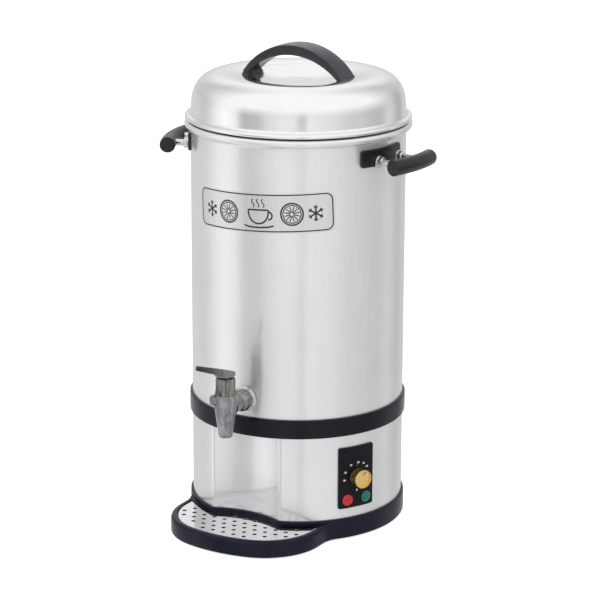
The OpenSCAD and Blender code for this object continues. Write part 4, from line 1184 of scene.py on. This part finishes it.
def cap(s):
    """Lamp cap: a bezel step and a low facetted dome."""
    prof = [(0, 135.2), (7.4, 135.2), (7.4, 138.1)] + arc(6.9, 138.1, 0.5, 0, 80, 4) + [(6.7, 138.75), (6.5, 138.9), (6.3, 139.35), (5.6, 139.85), (4.2, 140.3), (2.2, 140.58), (0, 140.66)]
    return moved(lathe(prof, 56, False), radial(PANEL_PHI + s * LAMP_A, KNOB_Z + LAMP_DZ))


build("lamp_cap_red", *cap(-1), LENS_RED, "boiler", "lamp_red", ["red_lamp_lens"], 30)
build("lamp_cap_green", *cap(1), LENS_GREEN, "boiler", "lamp_green", ["green_lamp_lens"], 30)
for s, nm in ((-1, "red"), (1, "green")):
    ring = [(7.45, 136.6), (8.1, 136.6), (8.1, 138.0), (7.95, 138.3), (7.6, 138.3), (7.45, 138.0)]
    build("lamp_ring_" + nm, *moved(lathe(ring, 56, True), radial(PANEL_PHI + s * LAMP_A, KNOB_Z + LAMP_DZ)), BLACK_GLOSS, "boiler", "black_gloss", (), 40)

# the dial's printed scale: plain figures and ticks, clockwise from the top
FIGURES = {
    "0": [[(0.0, 0.5), (0.1, 0.9), (0.5, 1.0), (0.9, 0.9), (1.0, 0.5), (0.9, 0.1), (0.5, 0.0), (0.1, 0.1), (0.0, 0.5)]],
    "1": [[(0.2, 0.75), (0.55, 1.0), (0.55, 0.0)]],
    "2": [[(0.05, 0.8), (0.3, 1.0), (0.7, 1.0), (0.95, 0.75), (0.85, 0.5), (0.05, 0.0), (1.0, 0.0)]],
    "3": [[(0.05, 0.95), (0.6, 1.0), (0.95, 0.78), (0.7, 0.53), (0.4, 0.52), (0.7, 0.51), (1.0, 0.27), (0.65, 0.0), (0.05, 0.05)]],
    "4": [[(0.7, 0.0), (0.7, 1.0), (0.05, 0.3), (1.0, 0.3)]],
    "5": [[(0.9, 1.0), (0.2, 1.0), (0.12, 0.55), (0.6, 0.62), (0.98, 0.35), (0.7, 0.02), (0.08, 0.05)]],
    "6": [[(0.85, 0.95), (0.4, 0.85), (0.08, 0.4), (0.25, 0.03), (0.75, 0.03), (0.95, 0.3), (0.7, 0.56), (0.3, 0.52), (0.1, 0.35)]],
    "7": [[(0.0, 1.0), (1.0, 1.0), (0.4, 0.0)]],
    "8": [[(0.5, 0.53), (0.12, 0.75), (0.5, 1.0), (0.88, 0.75), (0.5, 0.53), (0.05, 0.25), (0.5, 0.0), (0.95, 0.25), (0.5, 0.53)]],
    "9": [[(0.15, 0.05), (0.6, 0.15), (0.92, 0.6), (0.75, 0.97), (0.25, 0.97), (0.05, 0.7), (0.3, 0.44), (0.7, 0.48), (0.9, 0.65)]]}


def scale_lines():
    lines = []
    for a, txt in ((-99, "30"), (-66, "40"), (-29, "50"), (5, "60"), (32, "70"), (55, "80")):
        ca, sa = math.sin(math.radians(a)), math.cos(math.radians(a))
        cx, cy = 18.2 * ca, 18.2 * sa + 0.5
        w, h, gap = 1.15, 2.1, 0.55
        x0 = cx - (2 * w + gap) / 2
        for i, c in enumerate(txt):
            for ln in FIGURES[c]:
                lines.append([(x0 + i * (w + gap) + p[0] * w, cy - h / 2 + p[1] * h) for p in ln])
    lines.append([(0.9 * math.cos(math.radians(t)), -17.6 + 1.2 * math.sin(math.radians(t))) for t in range(0, 361, 24)])
    lines.append([(0, 13.9), (0, 15.1)])
    return lines


build("dial_print", *strokes(scale_lines(), panel_at, 0.42, 2.55, 2.72), INK_WHITE, "boiler", "cream_plastic", (), 40)

# ------------------------------------------------------------------ label: an outline with a plain cup, slices and stars

label_at = on_cyl(LABEL_PHI, LABEL_Z, BODY_R)
build("label_sheet", *curved_plate(LABEL_W, LABEL_H, 9.5, label_at, 0.05, 0.25, 0.05, tilt=2.4, steps=2, grid=4.0), FILM, "boiler", "label_film", ["label_film"], 45)
CT, ST = math.cos(math.radians(2.4)), math.sin(math.radians(2.4))


def label_place(u, v, d=0.0):
    return label_at(u * CT - v * ST, u * ST + v * CT, d)


def circle_line(cx, cy, r, a0=0, a1=360, n=40):
    return arc(cx, cy, r, a0, a1, n)


def dense_line(pts, step=2.0):
    out = []
    for p, q in zip(pts, pts[1:]):
        k = max(1, int(math.hypot(q[0] - p[0], q[1] - p[1]) / step))
        out += [(p[0] + (q[0] - p[0]) * i / k, p[1] + (q[1] - p[1]) * i / k) for i in range(k)]
    return out + [pts[-1]]


frame_line = rrect(LABEL_W - 4.4, LABEL_H - 4.4, 8.5, 10)
build("label_outline", *strokes([dense_line(frame_line + [frame_line[0]], 3.0)], label_place, 1.5, 0.2, 0.34), INK, "boiler", "label_film", (), 40)


def motif():
    thick, thin = [], []
    # a cup on a saucer, steam over it
    cup = [(-13, 4)] + [(-13 + 26 * 0.5 - 13 * math.cos(math.radians(a)), 4 - 17 * math.sin(math.radians(a)) ** 0.8) for a in range(10, 180, 10)] + [(13, 4), (-13, 4)]
    thick.append(cup)
    thick.append([(12.4 + 5.2 * math.sin(math.radians(a)), -3 + 5.0 * math.cos(math.radians(a))) for a in range(0, 181, 12)])
    thick.append([(-19, -15.5), (-12, -17.2), (0, -17.8), (12, -17.2), (19, -15.5)])
    for x in (-6.5, 0, 6.5):
        thin.append([(x + 1.5 * math.sin(math.radians(i * 36)), 7 + i * 1.05) for i in range(11)])
    # slices of fruit and six-armed stars to either side
    for s in (-1, 1):
        cx = 42 * s
        thick.append(circle_line(cx, -1, 13.5))
        thin.append(circle_line(cx, -1, 11.0))
        for a in range(0, 180, 30):
            c, t = math.cos(math.radians(a + 15)), math.sin(math.radians(a + 15))
            for q in (-1, 1):
                thin.append([(cx + q * 2.0 * c, -1 + q * 2.0 * t), (cx + q * 9.6 * c, -1 + q * 9.6 * t)])
        cx = 71 * s
        for a in range(0, 180, 60):
            c, t = math.cos(math.radians(a + 30)), math.sin(math.radians(a + 30))
            thick.append([(cx - 10 * c, -1 - 10 * t), (cx + 10 * c, -1 + 10 * t)])
            for q in (-1, 1):
                bx, by = cx + q * 6.2 * c, -1 + q * 6.2 * t
                for w in (-50, 50):
                    d = math.radians(a + 30 + w)
                    thin.append([(bx, by), (bx + q * 3.4 * math.cos(d), by + q * 3.4 * math.sin(d))])
    return [dense_line(p) for p in thick], [dense_line(p) for p in thin]


thick, thin = motif()
build("label_motif", *strokes(thick, label_place, 2.0, 0.2, 0.34), INK, "boiler", "label_film", (), 40)
build("label_motif_fine", *strokes(thin, label_place, 1.25, 0.2, 0.34), INK, "boiler", "label_film", (), 40)

# ------------------------------------------------------------------ stage, light, camera

floor_m = bpy.data.materials.new("floor_pale")
floor_m.use_nodes = True
ft = floor_m.node_tree
fb = ft.nodes["Principled BSDF"]
fb.inputs["Base Color"].default_value = (0.62, 0.62, 0.62, 1)
fb.inputs["Roughness"].default_value = 0.9
fb.inputs["Specular IOR Level"].default_value = 0.0
fb.inputs["Emission Color"].default_value = (1, 1, 1, 1)
fb.inputs["Emission Strength"].default_value = 0.62
floor_me = bpy.data.meshes.new("floor")
floor_me.from_pydata([(-9, -9, 0), (9, -9, 0), (9, 9, 0), (-9, 9, 0)], [], [(0, 1, 2, 3)])
floor_me.materials.append(floor_m)
floor = bpy.data.objects.new("floor", floor_me)
SCENE.collection.objects.link(floor)
floor.location.z = -0.0005
floor.visible_glossy = False

world = bpy.data.worlds.new("studio")
SCENE.world = world
world.use_nodes = True
wt = world.node_tree
wt.nodes.clear()
w_out = wt.nodes.new("ShaderNodeOutputWorld")
w_mix = wt.nodes.new("ShaderNodeMixShader")
w_cam = wt.nodes.new("ShaderNodeBackground")
w_env = wt.nodes.new("ShaderNodeBackground")
w_path = wt.nodes.new("ShaderNodeLightPath")
w_cam.inputs[0].default_value = (1, 1, 1, 1)
w_cam.inputs[1].default_value = 1.0
wt.links.new(w_path.outputs["Is Camera Ray"], w_mix.inputs[0])
wt.links.new(w_env.outputs[0], w_mix.inputs[1])
wt.links.new(w_cam.outputs[0], w_mix.inputs[2])
wt.links.new(w_mix.outputs[0], w_out.inputs[0])
# the studio round the object: softly lit walls, darker gaps between them, a bright ceiling
w_co = wt.nodes.new("ShaderNodeTexCoord")
w_rot = wt.nodes.new("ShaderNodeVectorRotate")
w_rot.rotation_type = "Z_AXIS"
w_rot.inputs["Angle"].default_value = math.radians(-SHOT_AZ)
wt.links.new(w_co.outputs["Generated"], w_rot.inputs["Vector"])
w_sep = wt.nodes.new("ShaderNodeSeparateXYZ")
wt.links.new(w_rot.outputs[0], w_sep.inputs[0])
w_neg = wt.nodes.new("ShaderNodeMath")
w_neg.operation = "MULTIPLY"
w_neg.inputs[1].default_value = -1.0
wt.links.new(w_sep.outputs["Y"], w_neg.inputs[0])
w_atan = wt.nodes.new("ShaderNodeMath")
w_atan.operation = "ARCTAN2"
wt.links.new(w_sep.outputs["X"], w_atan.inputs[0])
wt.links.new(w_neg.outputs[0], w_atan.inputs[1])
w_map = wt.nodes.new("ShaderNodeMapRange")
for i, v in zip(range(1, 5), (-math.pi, math.pi, 0.0, 1.0)):
    w_map.inputs[i].default_value = v
wt.links.new(w_atan.outputs[0], w_map.inputs[0])
w_ramp = wt.nodes.new("ShaderNodeValToRGB")
WALLS = [(-180, 0.68), (-140, 0.70), (-120, 0.66), (-84, 1.14), (-72, 1.06), (-60, 0.54), (-46, 0.56), (-30, 0.84), (-16, 0.96), (-4, 0.94),
         (2, 0.68), (6, 0.66), (11, 0.97), (30, 0.88), (60, 0.70), (96, 0.58), (112, 0.74), (134, 0.50), (152, 0.66), (180, 0.68)]
el = w_ramp.color_ramp.elements
while len(el) < len(WALLS):
    el.new(0.5)
for q, (a, v) in zip(el, WALLS):
    q.position = (a + 180) / 360
    q.color = (v, v, v * 1.005, 1)
w_ramp.color_ramp.interpolation = "EASE"
wt.links.new(w_map.outputs[0], w_ramp.inputs[0])
w_up = wt.nodes.new("ShaderNodeMapRange")
for i, v in zip(range(1, 5), (0.02, 0.42, 0.0, 1.0)):
    w_up.inputs[i].default_value = v
wt.links.new(w_sep.outputs["Z"], w_up.inputs[0])
# a dimmer belt above the horizon, under the ceiling
w_z = wt.nodes.new("ShaderNodeMapRange")
for i, v in zip(range(1, 5), (-1.0, 1.0, 0.0, 1.0)):
    w_z.inputs[i].default_value = v
wt.links.new(w_sep.outputs["Z"], w_z.inputs[0])
w_belt = wt.nodes.new("ShaderNodeValToRGB")
belt = w_belt.color_ramp.elements
while len(belt) < 5:
    belt.new(0.5)
for q, (p, v) in zip(belt, ((0.0, 1.0), (0.47, 1.0), (0.56, 0.92), (0.68, 0.92), (0.80, 1.0))):
    q.position = p
    q.color = (v, v, v, 1)
wt.links.new(w_z.outputs[0], w_belt.inputs[0])
w_low = wt.nodes.new("ShaderNodeMix")
w_low.data_type = "RGBA"
w_low.blend_type = "MULTIPLY"
w_low.inputs["Factor"].default_value = 1.0
wt.links.new(w_ramp.outputs[0], w_low.inputs["A"])
wt.links.new(w_belt.outputs[0], w_low.inputs["B"])
w_sky = wt.nodes.new("ShaderNodeMix")
w_sky.data_type = "RGBA"
# the ceiling is dimmer at the back of the studio, but for its middle
w_back = wt.nodes.new("ShaderNodeMapRange")
for i, v in zip(range(1, 5), (0.05, 0.65, 0.0, 1.0)):
    w_back.inputs[i].default_value = v
wt.links.new(w_sep.outputs["Y"], w_back.inputs[0])
w_ceil = wt.nodes.new("ShaderNodeMix")
w_ceil.data_type = "RGBA"
w_ceil.inputs["A"].default_value = (1.07, 1.08, 1.09, 1)
w_abs = wt.nodes.new("ShaderNodeMath")
w_abs.operation = "ABSOLUTE"
wt.links.new(w_sep.outputs["X"], w_abs.inputs[0])
w_side = wt.nodes.new("ShaderNodeMapRange")
for i, v in zip(range(1, 5), (0.10, 0.46, 0.0, 1.0)):
    w_side.inputs[i].default_value = v
wt.links.new(w_abs.outputs[0], w_side.inputs[0])
w_far = wt.nodes.new("ShaderNodeMix")
w_far.data_type = "RGBA"
w_far.inputs["A"].default_value = (1.02, 1.02, 1.02, 1)
w_far.inputs["B"].default_value = (0.62, 0.625, 0.63, 1)
wt.links.new(w_side.outputs[0], w_far.inputs["Factor"])
wt.links.new(w_far.outputs["Result"], w_ceil.inputs["B"])
wt.links.new(w_back.outputs[0], w_ceil.inputs["Factor"])
wt.links.new(w_ceil.outputs["Result"], w_sky.inputs["B"])
wt.links.new(w_up.outputs[0], w_sky.inputs["Factor"])
wt.links.new(w_low.outputs["Result"], w_sky.inputs["A"])
wt.links.new(w_sky.outputs["Result"], w_env.inputs[0])
w_env.inputs[1].default_value = 1.0


def softbox(name, az, el_, dist, size, power, aim=(0, 0, 0.32)):
    li = bpy.data.lights.new(name, "AREA")
    li.shape = "RECTANGLE"
    li.size, li.size_y = size
    li.energy = power
    ob = bpy.data.objects.new(name, li)
    SCENE.collection.objects.link(ob)
    a, e = math.radians(az), math.radians(el_)
    p = Vector((dist * math.cos(e) * math.sin(a), -dist * math.cos(e) * math.cos(a), dist * math.sin(e)))
    ob.location = p
    ob.rotation_euler = (p - Vector(aim)).to_track_quat("Z", "Y").to_euler()
    ob.visible_glossy = False
    return ob


softbox("key_left", SHOT_AZ - 58, 48, 2.6, (1.5, 1.2), 26)
softbox("fill_right", SHOT_AZ + 62, 42, 2.8, (1.4, 1.4), 14)
softbox("top", 0, 88, 2.4, (2.2, 2.2), 26)

cam = bpy.data.cameras.new("photo_view")
cam.lens = 146.2
cam.sensor_width = 36.0
cam.clip_start, cam.clip_end = 0.05, 60
cam_ob = bpy.data.objects.new("photo_view", cam)
SCENE.collection.objects.link(cam_ob)
cam_ob.location = (2.991946 * math.sin(math.radians(SHOT_AZ)), -2.991946 * math.cos(math.radians(SHOT_AZ)), 1.1164)
PITCH, YAW, ROLL = math.radians(15.6774), math.radians(0.0521), math.radians(0.2147)
fwd = Vector((math.sin(YAW) * math.cos(PITCH), math.cos(YAW) * math.cos(PITCH), -math.sin(PITCH)))
rgt = Vector((math.cos(YAW), -math.sin(YAW), 0))
upv = rgt.cross(fwd)
r2 = rgt * math.cos(ROLL) + upv * math.sin(ROLL)
u2 = upv * math.cos(ROLL) - rgt * math.sin(ROLL)
spin = Matrix.Rotation(math.radians(SHOT_AZ), 3, "Z")
cols = [spin @ r2, spin @ u2, spin @ (-fwd)]
cam_ob.rotation_euler = Matrix(((cols[0].x, cols[1].x, cols[2].x), (cols[0].y, cols[1].y, cols[2].y), (cols[0].z, cols[1].z, cols[2].z))).to_euler()
SCENE.camera = cam_ob

SCENE.view_settings.view_transform = "Standard"
SCENE.view_settings.look = "None"
SCENE.view_settings.exposure = 0.0
SCENE.view_settings.gamma = 1.0
